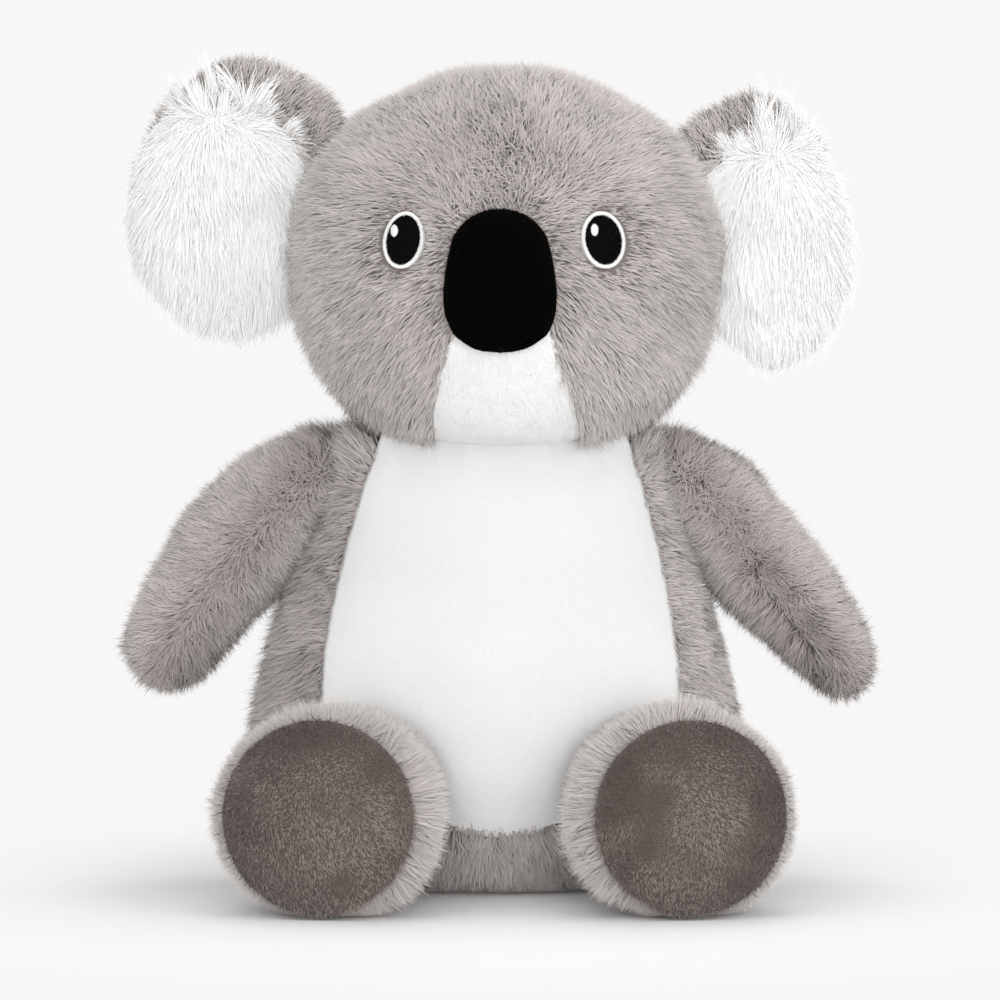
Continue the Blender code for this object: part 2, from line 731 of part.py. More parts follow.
def build_head():
    turn = carrier("head_pivot", HEAD_PLACE)
    hollow = as_cutter(head_form(-PILE), "hollow_head")
    neck_place = Matrix.Translation((HEAD_SIDE, 0, HEAD_BASE))
    neck_hole = as_cutter(drum(NECK_HOLE, 4 * PILE, neck_place), "cut_head_neck")
    grooves = [as_cutter(ear_groove(s), f"cut_groove_{s}") for s in SIDES]
    under = NECK_HOLE + OVERRUN  # how near the neck the muzzle patch reaches
    window = as_cutter(prism(muzzle_outline(GAP), under - GAP), "cut_muzzle")

    # seats for the nose and the eyes, sunk in the plush
    nose_seat = as_cutter(nose_form(GAP), "cut_nose")
    cut(nose_seat, as_cutter(head_form(-(NOSE_SEAT + GAP)), "nose_seat_floor"))
    skin = as_piece(head_form(), "head_skin", "grey_plush", turn)
    cut(skin, hollow, neck_hole, window, nose_seat, *grooves)

    full = PILE + GAP
    stuffing = as_piece(head_form(-full), "head_stuffing", "stuffing", turn)
    plug = as_cutter(drum(NECK_HOLE - GAP, 4 * PILE, neck_place), "neck_plug_head")
    keep_in(plug, as_cutter(head_form(), "plug_limit"))
    join(stuffing, plug)

    muzzle = as_piece(prism(muzzle_outline(), under), "muzzle_patch", "white_pile", turn)
    keep_in(muzzle, as_cutter(head_form(-MUZZLE_DIP), "muzzle_outer"))
    cut(muzzle, hollow, nose_seat)

    build_nose(turn)
    eye_floor = as_cutter(head_form(-EYE_FLOOR), "eye_floor")
    for side in SIDES:
        build_eye(side, turn, skin, eye_floor)
    for side in SIDES:
        build_ear(side)


def build_nose(turn):
    seat = as_cutter(head_form(-NOSE_SEAT), "nose_seat")
    nose = as_piece(nose_form(), "nose_skin", "black_velour", turn)
    cut(nose, as_cutter(nose_form(-NOSE_CLOTH), "hollow_nose"), seat)
    filling = as_piece(nose_form(-(NOSE_CLOTH + GAP)), "nose_stuffing", "stuffing", turn)
    cut(filling, seat)


def build_eye(side, turn, skin, eye_floor):
    """White ring, black pupil and white glint, each of satin thread."""
    centre = (SIDES[side] * EYE_OUT[side], EYE_HEIGHT)
    lean = SIDES[side] * EYE_LEAN
    half = (EYE_HALF_WIDTH, EYE_HALF_HEIGHT)
    inner = (half[0] - EYE_RING, half[1] - EYE_RING)
    glint_at = (centre[0] - GLINT_LEFT, centre[1] + GLINT_UP)
    name = f"{side}_eye"

    pocket = as_cutter(prism(oval(half[0] + GAP, half[1] + GAP, centre, lean)), f"cut_{name}")
    cut(pocket, as_cutter(head_form(-(EYE_FLOOR + GAP)), f"{name}_pocket_floor"))
    cut(skin, pocket)
    top = as_cutter(head_form(-EYE_TOP), f"{name}_top")

    ring = as_piece(prism(oval(*half, centre, lean)), f"{name}_ring", "white_thread", turn)
    keep_in(ring, top)
    hole = oval(inner[0], inner[1], centre, lean)
    cut(ring, eye_floor, as_cutter(prism(hole), f"{name}_hole"))

    pupil_shape = oval(inner[0] - GAP, inner[1] - GAP, centre, lean)
    pupil = as_piece(prism(pupil_shape), f"{name}_pupil", "black_thread", turn)
    keep_in(pupil, top)
    spot = oval(GLINT_HALF_WIDTH + GAP, GLINT_HALF_HEIGHT + GAP, glint_at, 0.0, DISC_SIDES // 2)
    cut(pupil, eye_floor, as_cutter(prism(spot), f"{name}_spot"))

    shine = oval(GLINT_HALF_WIDTH, GLINT_HALF_HEIGHT, glint_at, 0.0, DISC_SIDES // 2)
    glint = as_piece(prism(shine), f"{name}_glint", "white_thread", turn)
    keep_in(glint, top)
    cut(glint, eye_floor)


def build_ear(side):
    frame = ear_frame(side)
    hinge = carrier(f"{side}_ear_hinge", Matrix.Translation(frame.translation))
    hollow = as_cutter(ear_form(side, EAR_CLOTH), f"hollow_ear_{side}")
    forward = (frame.to_3x3() @ Vector((0, -1, 0))).normalized()
    middle = frame.translation + forward * EAR_SPLIT
    front_block = as_cutter(plane_block(middle, forward, -GAP / 2), f"cut_ear_front_{side}")
    back_block = as_cutter(plane_block(middle, -forward, -GAP / 2), f"cut_ear_back_{side}")
    back = as_piece(ear_form(side), f"{side}_ear_back", "grey_plush", hinge)
    cut(back, hollow, front_block)
    front = as_piece(ear_form(side), f"{side}_ear_front", "white_pile", hinge)
    cut(front, hollow, back_block)
    as_piece(ear_form(side, EAR_CLOTH + GAP), f"{side}_ear_stuffing", "stuffing", hinge)


def build_arm(side):
    point, normal = side_plane(side)
    frame = arm_frame(side)
    pivot = frame.translation - normal * SHOULDER_OUT
    swing = carrier(f"{side}_shoulder", Matrix.Translation(pivot))
    inside = as_cutter(plane_block(point, -normal, -GAP), f"cut_inside_{side}")
    hollow = as_cutter(ring_form(arm_rings(side), ARM_SIDES, frame, -PILE), f"hollow_arm_{side}")
    skin = as_piece(ring_form(arm_rings(side), ARM_SIDES, frame), f"{side}_arm_skin", "grey_plush", swing)
    cut(skin, hollow, inside)
    filling = ring_form(arm_rings(side), ARM_SIDES, frame, -(PILE + GAP))
    stuffing = as_piece(filling, f"{side}_arm_stuffing", "stuffing", swing)
    cut(stuffing, inside)


def build_leg(side):
    frame = leg_frame(side)
    lift = carrier(f"{side}_hip", Matrix.Translation(hip_point(side)))
    floor = bpy.data.objects["cut_floor"]
    hollow = as_cutter(ring_form(leg_rings(), LEG_SIDES, frame, -PILE), f"hollow_leg_{side}")
    sole_back = LEG_LENGTH - SOLE_DIP - SOLE_DOME - SOLE_CLOTH
    mouth_place = frame @ Matrix.Translation((0, 0, sole_back - GAP + LEG_LENGTH / 2))
    mouth = as_cutter(drum(SOLE_RADIUS + GAP, LEG_LENGTH, mouth_place), f"cut_mouth_{side}")
    skin = as_piece(ring_form(leg_rings(), LEG_SIDES, frame), f"{side}_leg_skin", "grey_plush", lift)
    cut(skin, hollow, mouth, floor)

    filling = ring_form(leg_rings(), LEG_SIDES, frame, -(PILE + GAP))
    stuffing = as_piece(filling, f"{side}_leg_stuffing", "stuffing", lift)
    cut(stuffing, as_cutter(drum(2 * SOLE_RADIUS, LEG_LENGTH, mouth_place), f"cut_front_{side}"))

    # the sole, a drum with a low dome on its front
    place = frame @ Matrix.Translation((0, 0, sole_back + SOLE_CLOTH / 2))
    sole = drum(SOLE_RADIUS, SOLE_CLOTH, Matrix.Identity(4))
    front = [f for f in sole.faces if f.normal.z > 0.5]
    rise = SOLE_DOME / len(SOLE_STEP_SHARES)
    for share in SOLE_STEP_SHARES:
        bmesh.ops.inset_region(sole, faces=front, thickness=SOLE_RADIUS * share)
        lifted = {v for f in front for v in f.verts}
        bmesh.ops.translate(sole, vec=Vector((0, 0, rise)), verts=list(lifted))
    bmesh.ops.transform(sole, matrix=place, verts=sole.verts)
    as_piece(sole, f"{side}_sole", "brown_velour", lift)


clear_scene()
pieces = new_collection(COLLECTION)
cutters = new_collection("cutters")
build_body(carrier("seat", Matrix.Identity(4)))
build_head()
for limb_side in SIDES:
    build_arm(limb_side)
    build_leg(limb_side)
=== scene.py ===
# Sitting plush koala: cloth, fur, thread and the studio round it. Metres, +Z up, the face looks along -Y.
import json
import math
import time

import bmesh
import bpy
import numpy as np
from mathutils import Matrix, Vector
from mathutils.bvhtree import BVHTree


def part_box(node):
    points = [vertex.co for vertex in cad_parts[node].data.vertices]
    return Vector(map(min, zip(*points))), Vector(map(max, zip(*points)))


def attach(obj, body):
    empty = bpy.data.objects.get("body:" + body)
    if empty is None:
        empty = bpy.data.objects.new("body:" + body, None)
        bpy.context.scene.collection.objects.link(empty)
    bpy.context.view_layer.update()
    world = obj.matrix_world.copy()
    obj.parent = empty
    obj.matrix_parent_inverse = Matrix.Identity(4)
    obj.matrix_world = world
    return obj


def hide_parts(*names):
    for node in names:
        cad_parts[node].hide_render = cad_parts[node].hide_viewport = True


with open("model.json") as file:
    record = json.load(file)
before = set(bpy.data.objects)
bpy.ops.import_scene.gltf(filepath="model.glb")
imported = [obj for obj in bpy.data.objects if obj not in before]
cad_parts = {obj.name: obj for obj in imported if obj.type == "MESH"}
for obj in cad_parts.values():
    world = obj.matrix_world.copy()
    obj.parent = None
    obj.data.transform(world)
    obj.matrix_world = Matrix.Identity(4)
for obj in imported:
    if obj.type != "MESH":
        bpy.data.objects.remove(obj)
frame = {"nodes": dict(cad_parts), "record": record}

mm = 0.001
sideSign = {"right": -1, "left": 1}  # the toy's own right is at -X
down = np.array([0, 0, -1.0])
ahead = np.array([0, -1.0, 0])
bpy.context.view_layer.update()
joints = {joint["name"]: joint for joint in frame["record"]["behaviour"]["joints"]}
began = time.time()


def report(stage):
    print(f"{stage}: {time.time() - began:.0f} s")


# Camera, light and floor

studio = {
    "cameraHeight": 186 * mm,
    "cameraBack": 1576 * mm,
    "lens": 116,
    "sensor": 36,
    "paper": 0.932,  # floor and background as the camera sees them
    "floorColour": 0.93,
    "floorSize": 8.0,
    "fadeFrom": 0.16,  # between these distances the lit floor turns into plain paper
    "fadeTo": 0.38,
    "worldLight": 0.70,
    "aim": (0, 0, 0.2),  # where the lamps point
}
lamps = {  # place, size, watts
    "keyLamp": ((-0.9, -1.5, 1.9), 1.4, 5),
    "fillLamp": ((1.3, -1.3, 0.9), 1.3, 5.5),
    "topLamp": ((0.1, 0.3, 1.9), 1.2, 9),
    "frontLamp": ((0.1, -1.7, 0.20), 0.9, 15),
}


def addObject(name, data):
    made = bpy.data.objects.new(name, data)
    bpy.context.scene.collection.objects.link(made)
    return made


# Gives a shader node's inputs their values, or links them to sockets
def setInputs(tree, node, inputs):
    for key, value in inputs.items():
        if isinstance(value, bpy.types.NodeSocket):
            tree.links.new(value, node.inputs[key])
        else:
            node.inputs[key].default_value = value


def addNode(tree, kind, inputs=None, **settings):
    node = tree.nodes.new(f"ShaderNode{kind}")
    for key, value in settings.items():
        setattr(node, key, value)
    setInputs(tree, node, inputs or {})
    return node


def makeCamera():
    data = bpy.data.cameras.new("camera")
    data.lens = studio["lens"]
    data.sensor_width = studio["sensor"]
    data.clip_start = 0.1
    camera = addObject("camera", data)
    camera.location = (0, -studio["cameraBack"], studio["cameraHeight"])
    camera.rotation_euler = (math.pi / 2, 0, 0)
    bpy.context.scene.camera = camera


def addLamp(name, place, size, watts):
    data = bpy.data.lights.new(name, "AREA")
    data.shape = "SQUARE"
    data.size = size
    data.energy = watts
    lamp = addObject(name, data)
    lamp.location = place
    lamp.rotation_euler = (Vector(studio["aim"]) - Vector(place)).to_track_quat("-Z", "Y").to_euler()


# 1 for rays that show the background: camera, mirror and glass rays
def seenDirectly(tree):
    path = addNode(tree, "LightPath").outputs
    seen = path["Is Camera Ray"]
    for kind in ("Glossy", "Transmission"):
        seen = addNode(tree, "Math", {0: seen, 1: path[f"Is {kind} Ray"]}, operation="MAXIMUM").outputs[0]
    return seen


def grey(share):
    return (share, share, share, 1)


def makeWorld():
    world = bpy.data.worlds.new("studio")
    bpy.context.scene.world = world
    world.use_nodes = True
    tree = world.node_tree
    tree.nodes.clear()
    lit = addNode(tree, "Background", {"Color": grey(1), "Strength": studio["worldLight"]})
    shown = addNode(tree, "Background", {"Color": grey(studio["paper"]), "Strength": 1})
    mix = addNode(tree, "MixShader", {"Fac": seenDirectly(tree), 1: lit.outputs[0], 2: shown.outputs[0]})
    addNode(tree, "OutputWorld", {"Surface": mix.outputs[0]})


def makeFloor():
    bm = bmesh.new()
    bmesh.ops.create_grid(bm, x_segments=1, y_segments=1, size=studio["floorSize"] / 2)
    mesh = bpy.data.meshes.new("floor")
    bm.to_mesh(mesh)
    bm.free()
    floor = addObject("floor", mesh)
    material = bpy.data.materials.new("floorPaper")
    material.use_nodes = True
    tree = material.node_tree
    tree.nodes.clear()
    place = addNode(tree, "TexCoord").outputs["Object"]
    length = addNode(tree, "VectorMath", {0: place}, operation="LENGTH").outputs["Value"]
    ends = {"From Min": studio["fadeFrom"], "From Max": studio["fadeTo"]}
    fade = addNode(tree, "MapRange", {"Value": length, **ends}, interpolation_type="SMOOTHSTEP")
    both = addNode(tree, "Math", {0: fade.outputs["Result"], 1: seenDirectly(tree)}, operation="MULTIPLY")
    paper = addNode(tree, "BsdfDiffuse", {"Color": grey(studio["floorColour"])})
    far = addNode(tree, "Emission", {"Color": grey(studio["paper"])})
    mix = addNode(tree, "MixShader", {"Fac": both.outputs[0], 1: paper.outputs[0], 2: far.outputs[0]})
    addNode(tree, "OutputMaterial", {"Surface": mix.outputs[0]})
    mesh.materials.append(material)


makeCamera()
makeWorld()
makeFloor()
for lampName, values in lamps.items():
    addLamp(lampName, *values)
bpy.context.scene.view_settings.view_transform = "Standard"
report("studio")


# Small tools for meshes, places and noise


# Positions of vertices, or their normals
def vectorsOf(values, key="co"):
    flat = np.empty(len(values) * 3)
    values.foreach_get(key, flat)
    return flat.reshape(-1, 3)


# All corners of CAD nodes
def corners(*nodes):
    return np.concatenate([vectorsOf(frame["nodes"][name].data.vertices) for name in nodes])


# Moves a mesh's vertices by move(places)
def reshape(mesh, move):
    places = vectorsOf(mesh.vertices)
    mesh.vertices.foreach_set("co", (places + move(places)).ravel())
    mesh.update()


# One search tree over several meshes
def treeOf(*meshes):
    points, faces = [], []
    for mesh in meshes:
        first = len(points)
        points += [v.co.copy() for v in mesh.vertices]
        faces += [[first + i for i in face.vertices] for face in mesh.polygons]
    return BVHTree.FromPolygons(points, faces)


def addPiece(name, mesh, body, slot, material):
    piece = addObject(name, mesh)
    mesh.materials.clear()
    mesh.materials.append(material)
    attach(piece, body)
    return piece


def meshFrom(bm, name):
    mesh = bpy.data.meshes.new(name)
    bm.to_mesh(mesh)
    bm.free()
    mesh.shade_smooth()
    return mesh


# Applies what the piece's modifiers give to its mesh
def settle(piece):
    graph = bpy.context.evaluated_depsgraph_get()
    mesh = bpy.data.meshes.new_from_object(piece.evaluated_get(graph))
    old, name = piece.data, piece.data.name
    piece.modifiers.clear()
    piece.data = mesh
    bpy.data.meshes.remove(old)
    mesh.name = name


# Smooth noise from -1 to 1 in three channels, over cells of a size
def softNoise(points, size, seed):
    grid = points / size
    cell = np.floor(grid).astype(np.int64)
    part = grid - cell
    part = part * part * (3 - 2 * part)
    total = np.zeros((len(points), 3))
    for corner in np.ndindex(2, 2, 2):
        offset = np.array(corner)
        weight = np.prod(np.where(offset, part, 1 - part), axis=1)
        key = ((cell + offset) @ np.array([7385, 19349, 83492]) + seed * 971) % 104729
        for channel in range(3):
            value = np.sin(key * 12.9898 + channel * 78.233) * 43758.5453
            total[:, channel] += weight * (2 * (value - np.floor(value)) - 1)
    return total


def unit(vectors):
    return vectors / np.maximum(np.linalg.norm(vectors, axis=-1, keepdims=True), 1e-9)


def dot(a, b):
    return np.sum(a * b, axis=-1, keepdims=True)


def smoothStep(value, low, high):
    share = np.clip((value - low) / (high - low), 0, 1)
    return share * share * (3 - 2 * share)


# Materials


def srgb(red, green, blue):
    return tuple((c / 3294.6) if c <= 10 else ((c / 255 + 0.055) / 1.055) ** 2.4 for c in (red, green, blue))


# Colours at root, middle and tip of each fur: darker roots and paler tips are partly the fur's own colour,
# partly painted shade and light
furLooks = {
    "greyFur": {
        "slot": "grey_plush",
        "root": srgb(124, 116, 112), "middle": srgb(192, 184, 180), "tip": srgb(228, 221, 217),
        "other": (0.80, 0.78, 0.77), "tones": (0.78, 1.16), "patches": 0.08, "sheen": 0.12, "specular": 0.10,
    },
    "paintedLitFur": {  # painted light: the same grey plush, painted lighter where its tips turn to the light round the soles
        "slot": "grey_plush",
        "root": srgb(172, 165, 161), "middle": srgb(194, 187, 183), "tip": srgb(214, 208, 205),
        "other": (0.86, 0.84, 0.835), "tones": (0.92, 1.04), "patches": 0.05, "sheen": 0.10, "specular": 0.06,
    },
    "whiteFur": {
        "slot": "white_pile",
        "root": srgb(232, 231, 229), "middle": srgb(248, 248, 247), "tip": srgb(252, 252, 252),
        "other": (0.93, 0.92, 0.91), "tones": (0.93, 1.02), "patches": 0.02, "sheen": 0.10, "specular": 0.05,
    },
    "brownPile": {
        "slot": "brown_velour",
        "root": srgb(96, 85, 80), "middle": srgb(147, 133, 126), "tip": srgb(186, 173, 166),
        "other": (0.52, 0.49, 0.47), "tones": (0.80, 1.12), "patches": 0.10, "sheen": 0.18, "specular": 0.10,
    },
    "blackPile": {
        "slot": "black_velour",
        "root": srgb(3, 3, 3), "middle": srgb(6, 6, 6), "tip": srgb(13, 13, 13),
        "other": (1, 1, 1), "tones": (0.7, 1.3), "patches": 0.0, "sheen": 0.0, "specular": 0.02,
    },
}


def newMaterial(name, rough, sheen, specular):
    material = bpy.data.materials.new(name)
    material.use_nodes = True
    tree = material.node_tree
    shader = tree.nodes["Principled BSDF"]
    setInputs(tree, shader, {"Roughness": rough, "Sheen Weight": sheen, "Sheen Roughness": 0.6})
    setInputs(tree, shader, {"Specular IOR Level": specular})
    return material, tree, shader


# Noise on the object's coordinates, which stretch can scale along each axis
def noiseNode(tree, scale, detail, stretch=None):
    place = addNode(tree, "TexCoord").outputs["Object"]
    if stretch:
        place = addNode(tree, "Mapping", {"Vector": place, "Scale": stretch}).outputs["Vector"]
    return addNode(tree, "TexNoise", {"Vector": place, "Scale": scale, "Detail": detail}).outputs["Fac"]


# Stops are shares and colours: the first, the last, then any between
def rampNode(tree, share, *stops):
    ramp = addNode(tree, "ValToRGB", {"Fac": share})
    for k, (at, colour) in enumerate(stops):
        if k < 2:
            stop = ramp.color_ramp.elements[k]
            stop.position = at
        else:
            stop = ramp.color_ramp.elements.new(at)
        stop.color = (*colour, 1)
    return ramp.outputs["Color"]


def multiply(tree, first, second, share=1.0):
    inputs = {"Factor": share, "A": first, "B": second}
    return addNode(tree, "Mix", inputs, data_type="RGBA", blend_type="MULTIPLY").outputs["Result"]


def bumpNode(tree, height, strength, distance):
    inputs = {"Height": height, "Strength": strength, "Distance": distance}
    return addNode(tree, "Bump", inputs).outputs["Normal"]


# Strand colour from root to tip. The darker roots and paler tips are partly the fur's own colour and partly
# painted shade and light in the pile. The attribute holds the share along the strand, the strand's own tone
# and how much of the other colour it takes.
def furMaterial(name, look):
    material, tree, shader = newMaterial(name, 0.85, look["sheen"], look["specular"])
    strand = addNode(tree, "Attribute", attribute_name="strand").outputs["Color"]
    parts = addNode(tree, "SeparateColor", {"Color": strand}).outputs
    along = rampNode(tree, parts["Red"], (0.0, look["root"]), (1.0, look["tip"]), (0.45, look["middle"]))
    colour = multiply(tree, along, (*look["other"], 1), parts["Blue"])
    low, high = look["tones"]
    tone = addNode(tree, "MapRange", {"Value": parts["Green"], "To Min": low, "To Max": high})
    channels = dict.fromkeys(("Red", "Green", "Blue"), tone.outputs["Result"])
    tones = addNode(tree, "CombineColor", channels).outputs["Color"]
    shade = rampNode(tree, noiseNode(tree, 55, 2.0), (0.3, (1 - look["patches"],) * 3), (0.7, (1.0,) * 3))
    setInputs(tree, shader, {"Base Color": multiply(tree, multiply(tree, colour, tones), shade)})
    return material


# Knitted backing under the pile
def backingMaterial(name, colour, weave=900, specular=0.2, sheen=0.1):
    material, tree, shader = newMaterial(name, 0.95, sheen, specular)
    noise = noiseNode(tree, weave, 2.0)
    knit = rampNode(tree, noise, (0.35, tuple(c * 0.75 for c in colour)), (0.65, colour))
    setInputs(tree, shader, {"Base Color": knit, "Normal": bumpNode(tree, noise, 0.4, 0.2 * mm)})
    return material


# Brushed white knit: very short fibres, a faint upright grain, soft unevenness, and paler towards the bottom
# as painted light
def panelMaterial():
    material, tree, shader = newMaterial("whiteCloth", 0.9, 0.2, 0.15)
    grain = noiseNode(tree, 1.0, 4.0, (1500, 1500, 420))
    fine = rampNode(tree, grain, (0.3, srgb(236, 236, 236)), (0.7, srgb(243, 243, 243)))
    soft = rampNode(tree, noiseNode(tree, 28, 3.0), (0.35, (0.975,) * 3), (0.65, (1.0,) * 3))
    place = addNode(tree, "TexCoord").outputs["Object"]
    height = addNode(tree, "SeparateXYZ", {"Vector": place}).outputs["Z"]
    # Painted light: paler from 15 cm down to 6 cm, where the legs shade the panel
    lower = addNode(tree, "MapRange", {"Value": height, "From Min": 0.15, "From Max": 0.06}).outputs["Result"]
    pale = rampNode(tree, lower, (0.0, (0.84,) * 3), (1.0, (1.0,) * 3))
    colour = multiply(tree, multiply(tree, fine, soft), pale)
    setInputs(tree, shader, {"Base Color": colour, "Normal": bumpNode(tree, grain, 0.3, 0.12 * mm)})
    return material


# Rayon thread with a fine twist
def threadMaterial(name, colour, specular=0.12):
    material, tree, shader = newMaterial(name, 0.55, 0.0, specular)
    noise = noiseNode(tree, 2600, 2.0)
    twist = rampNode(tree, noise, (0.3, tuple(c * 0.86 for c in colour)), (0.7, colour))
    setInputs(tree, shader, {"Base Color": twist, "Normal": bumpNode(tree, noise, 0.3, 0.05 * mm)})
    return material


furs = {name: furMaterial(name, look) for name, look in furLooks.items()}
greyBacking = backingMaterial("greyBacking", srgb(132, 125, 121))
# Painted light: a lighter copy of the grey backing, for under the legs' pile
paintedLitBacking = backingMaterial("paintedLitBacking", srgb(196, 189, 185))
whiteBacking = backingMaterial("whiteBacking", srgb(236, 235, 233))
blackVelour = backingMaterial("blackVelour", srgb(4, 4, 4), 1500, 0.02, 0.0)
brownBacking = backingMaterial("brownBacking", srgb(96, 86, 81))
whiteCloth = panelMaterial()
whiteThread = threadMaterial("whiteThread", srgb(244, 244, 242))
blackThread = threadMaterial("blackThread", srgb(6, 6, 7), 0.06)


# Padded forms: wrapped over what the CAD holds inside each skin, then blown up as cloth

cloth = {
    "voxel": 5.5 * mm,
    "earVoxel": 3.5 * mm,
    "frames": 20,
    "mostMove": 1.6 * mm,  # how far the cloth may swell or sag
    "smoothing": 5,
    "settings": {
        "quality": 4, "mass": 0.3, "tension_stiffness": 15, "compression_stiffness": 15, "shear_stiffness": 5,
        "bending_stiffness": 0.5, "use_pressure": True, "uniform_pressure_force": 4.0,
    },
}


def middleOf(*nodes):
    found = corners(*nodes)
    return Vector((found.min(0) + found.max(0)) / 2)


def relax(bm, times):
    axes = {f"use_axis_{axis}": True for axis in "xyz"}
    for _ in range(times):
        bmesh.ops.smooth_vert(bm, verts=bm.verts, factor=0.5, **axes)


# A closed mesh over the outside of CAD nodes, cast towards their middle
def wrapForm(nodes):
    centre = middleOf(*nodes)
    tree = treeOf(*(frame["nodes"][name].data for name in nodes))
    bm = bmesh.new()
    bmesh.ops.create_icosphere(bm, subdivisions=6, radius=1.0)
    for v in bm.verts:
        way = v.co.normalized()
        hit = tree.ray_cast(centre + way * 0.5, -way)[0]
        v.co = hit if hit else centre
    relax(bm, cloth["smoothing"])
    return meshFrom(bm, "wrapped")


# A stuffed form over the nodes in cast, which stands for the nodes in stands
def padded(name, cast, body, stands, voxel=cloth["voxel"], backing=greyBacking):
    piece = addPiece(name, wrapForm(cast), body, "grey_plush", backing)
    modifier = piece.modifiers.new("Remesh", "REMESH")
    modifier.mode = "VOXEL"
    modifier.voxel_size = voxel
    settle(piece)
    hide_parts(*stands)
    return piece


# Blows all padded forms up together as cloth, and caps how far each point moves
def inflate(pieces):
    for piece in pieces:
        modifier = piece.modifiers.new("Cloth", "CLOTH")
        for key, value in cloth["settings"].items():
            setattr(modifier.settings, key, value)
        modifier.settings.effector_weights.gravity = 0
        modifier.point_cache.frame_start = 1
        modifier.point_cache.frame_end = cloth["frames"]
    for step in range(1, cloth["frames"] + 1):
        bpy.context.scene.frame_set(step)
    graph = bpy.context.evaluated_depsgraph_get()
    for piece in pieces:
        move = vectorsOf(piece.evaluated_get(graph).data.vertices) - vectorsOf(piece.data.vertices)
        far = np.linalg.norm(move, axis=1, keepdims=True)
        move *= np.minimum(1, cloth["mostMove"] / np.maximum(far, 1e-9))
        piece.modifiers.clear()
        reshape(piece.data, lambda places: move)
    bpy.context.scene.frame_set(1)


# Evens out the cloth and gives it one subdivision
def refine(piece):
    bm = bmesh.new()
    bm.from_mesh(piece.data)
    relax(bm, 3)
    bm.to_mesh(piece.data)
    bm.free()
    modifier = piece.modifiers.new("Subdivision", "SUBSURF")
    modifier.levels = modifier.render_levels = 1
    settle(piece)
    piece.data.shade_smooth()


# 1 at a place, 0 from a distance on
def bump(share, at, wide):
    return np.cos(np.clip((share - at) / wide, -1, 1) * math.pi / 2) ** 2


backings = {"arm": greyBacking, "leg": paintedLitBacking}
inside = ["body_stuffing", "bean_bag"]
stuffed = {
    "body": padded("bodyCloth", inside, "body", ["body_skin", *inside]),
    "head": padded("headCloth", ["head_stuffing"], "head", ["head_skin", "head_stuffing"]),
}
for side in sideSign:
    for limb in ("arm", "leg"):
        nodes = [f"{side}_{limb}_skin", f"{side}_{limb}_stuffing"]
        name = f"{side}{limb.title()}"
        stuffed[name] = padded(f"{name}Cloth", nodes[1:], f"{side}_{limb}", nodes, backing=backings[limb])
    nodes = [f"{side}_ear_back", f"{side}_ear_stuffing"]
    stuffed[f"{side}Ear"] = padded(f"{side}EarCloth", nodes[1:], f"{side}_ear", nodes, cloth["earVoxel"])
report("padded forms")
inflate(list(stuffed.values()))
report("cloth pressure")
for piece in stuffed.values():
    refine(piece)

cheeks = {"out": 5 * mm, "height": 250 * mm, "tall": 60 * mm, "from": 40 * mm, "to": 90 * mm}
crown = {
    "down": 3.5 * mm, "aside": -4 * mm, "at": 54 * mm, "wide": 36 * mm, "from": 330 * mm, "to": 375 * mm,
}
shoulders = {"up": 9 * mm, "at": 68 * mm, "wide": 30 * mm, "from": 165 * mm, "to": 200 * mm}


# Fuller low cheeks and a narrower crown
def fillCheeks(points):
    x, y, z = points.T
    full = bump(z, cheeks["height"], cheeks["tall"]) * smoothStep(np.abs(x), cheeks["from"], cheeks["to"])
    low = bump(np.abs(x + crown["aside"]), crown["at"], crown["wide"])
    low = low * smoothStep(z, crown["from"], crown["to"])
    return np.stack([np.sign(x) * cheeks["out"] * full, 0 * x, -crown["down"] * low], axis=1)


# Shoulders that rise beside the neck
def raiseShoulders(points):
    x, y, z = points.T
    beside = bump(np.abs(x), shoulders["at"], shoulders["wide"])
    high = smoothStep(z, shoulders["from"], shoulders["to"])
    return np.stack([0 * x, 0 * x, shoulders["up"] * beside * high], axis=1)


reshape(stuffed["head"].data, fillCheeks)
reshape(stuffed["body"].data, raiseShoulders)
headTree, bodyTree = treeOf(stuffed["head"].data), treeOf(stuffed["body"].data)
report("padded forms refined")


# Fur

furBasics = {
    "segments": 2,
    "width": 0.58 * mm,
    "rise": 66,  # degrees from the cloth at the root, then at the tip
    "lie": 42,
    "uneven": 0.14,
    "ragged": 0.13,
    "tuft": 3.5 * mm,  # size of the tufts and of the broader swirls
    "clump": 0.5,
    "swirl": 20 * mm,
    "swirlBy": 0.35,
    "stray": 0.25,
    "droop": 0.0,
    "roll": 0.5,
    "softness": 0.72,  # how much a strand is shaded like the cloth under it
    "shadeLean": (0.0, 0.0, 0.0),  # turns that shading, because round fibres take light from their sides
    "lowest": 0.4 * mm,
}


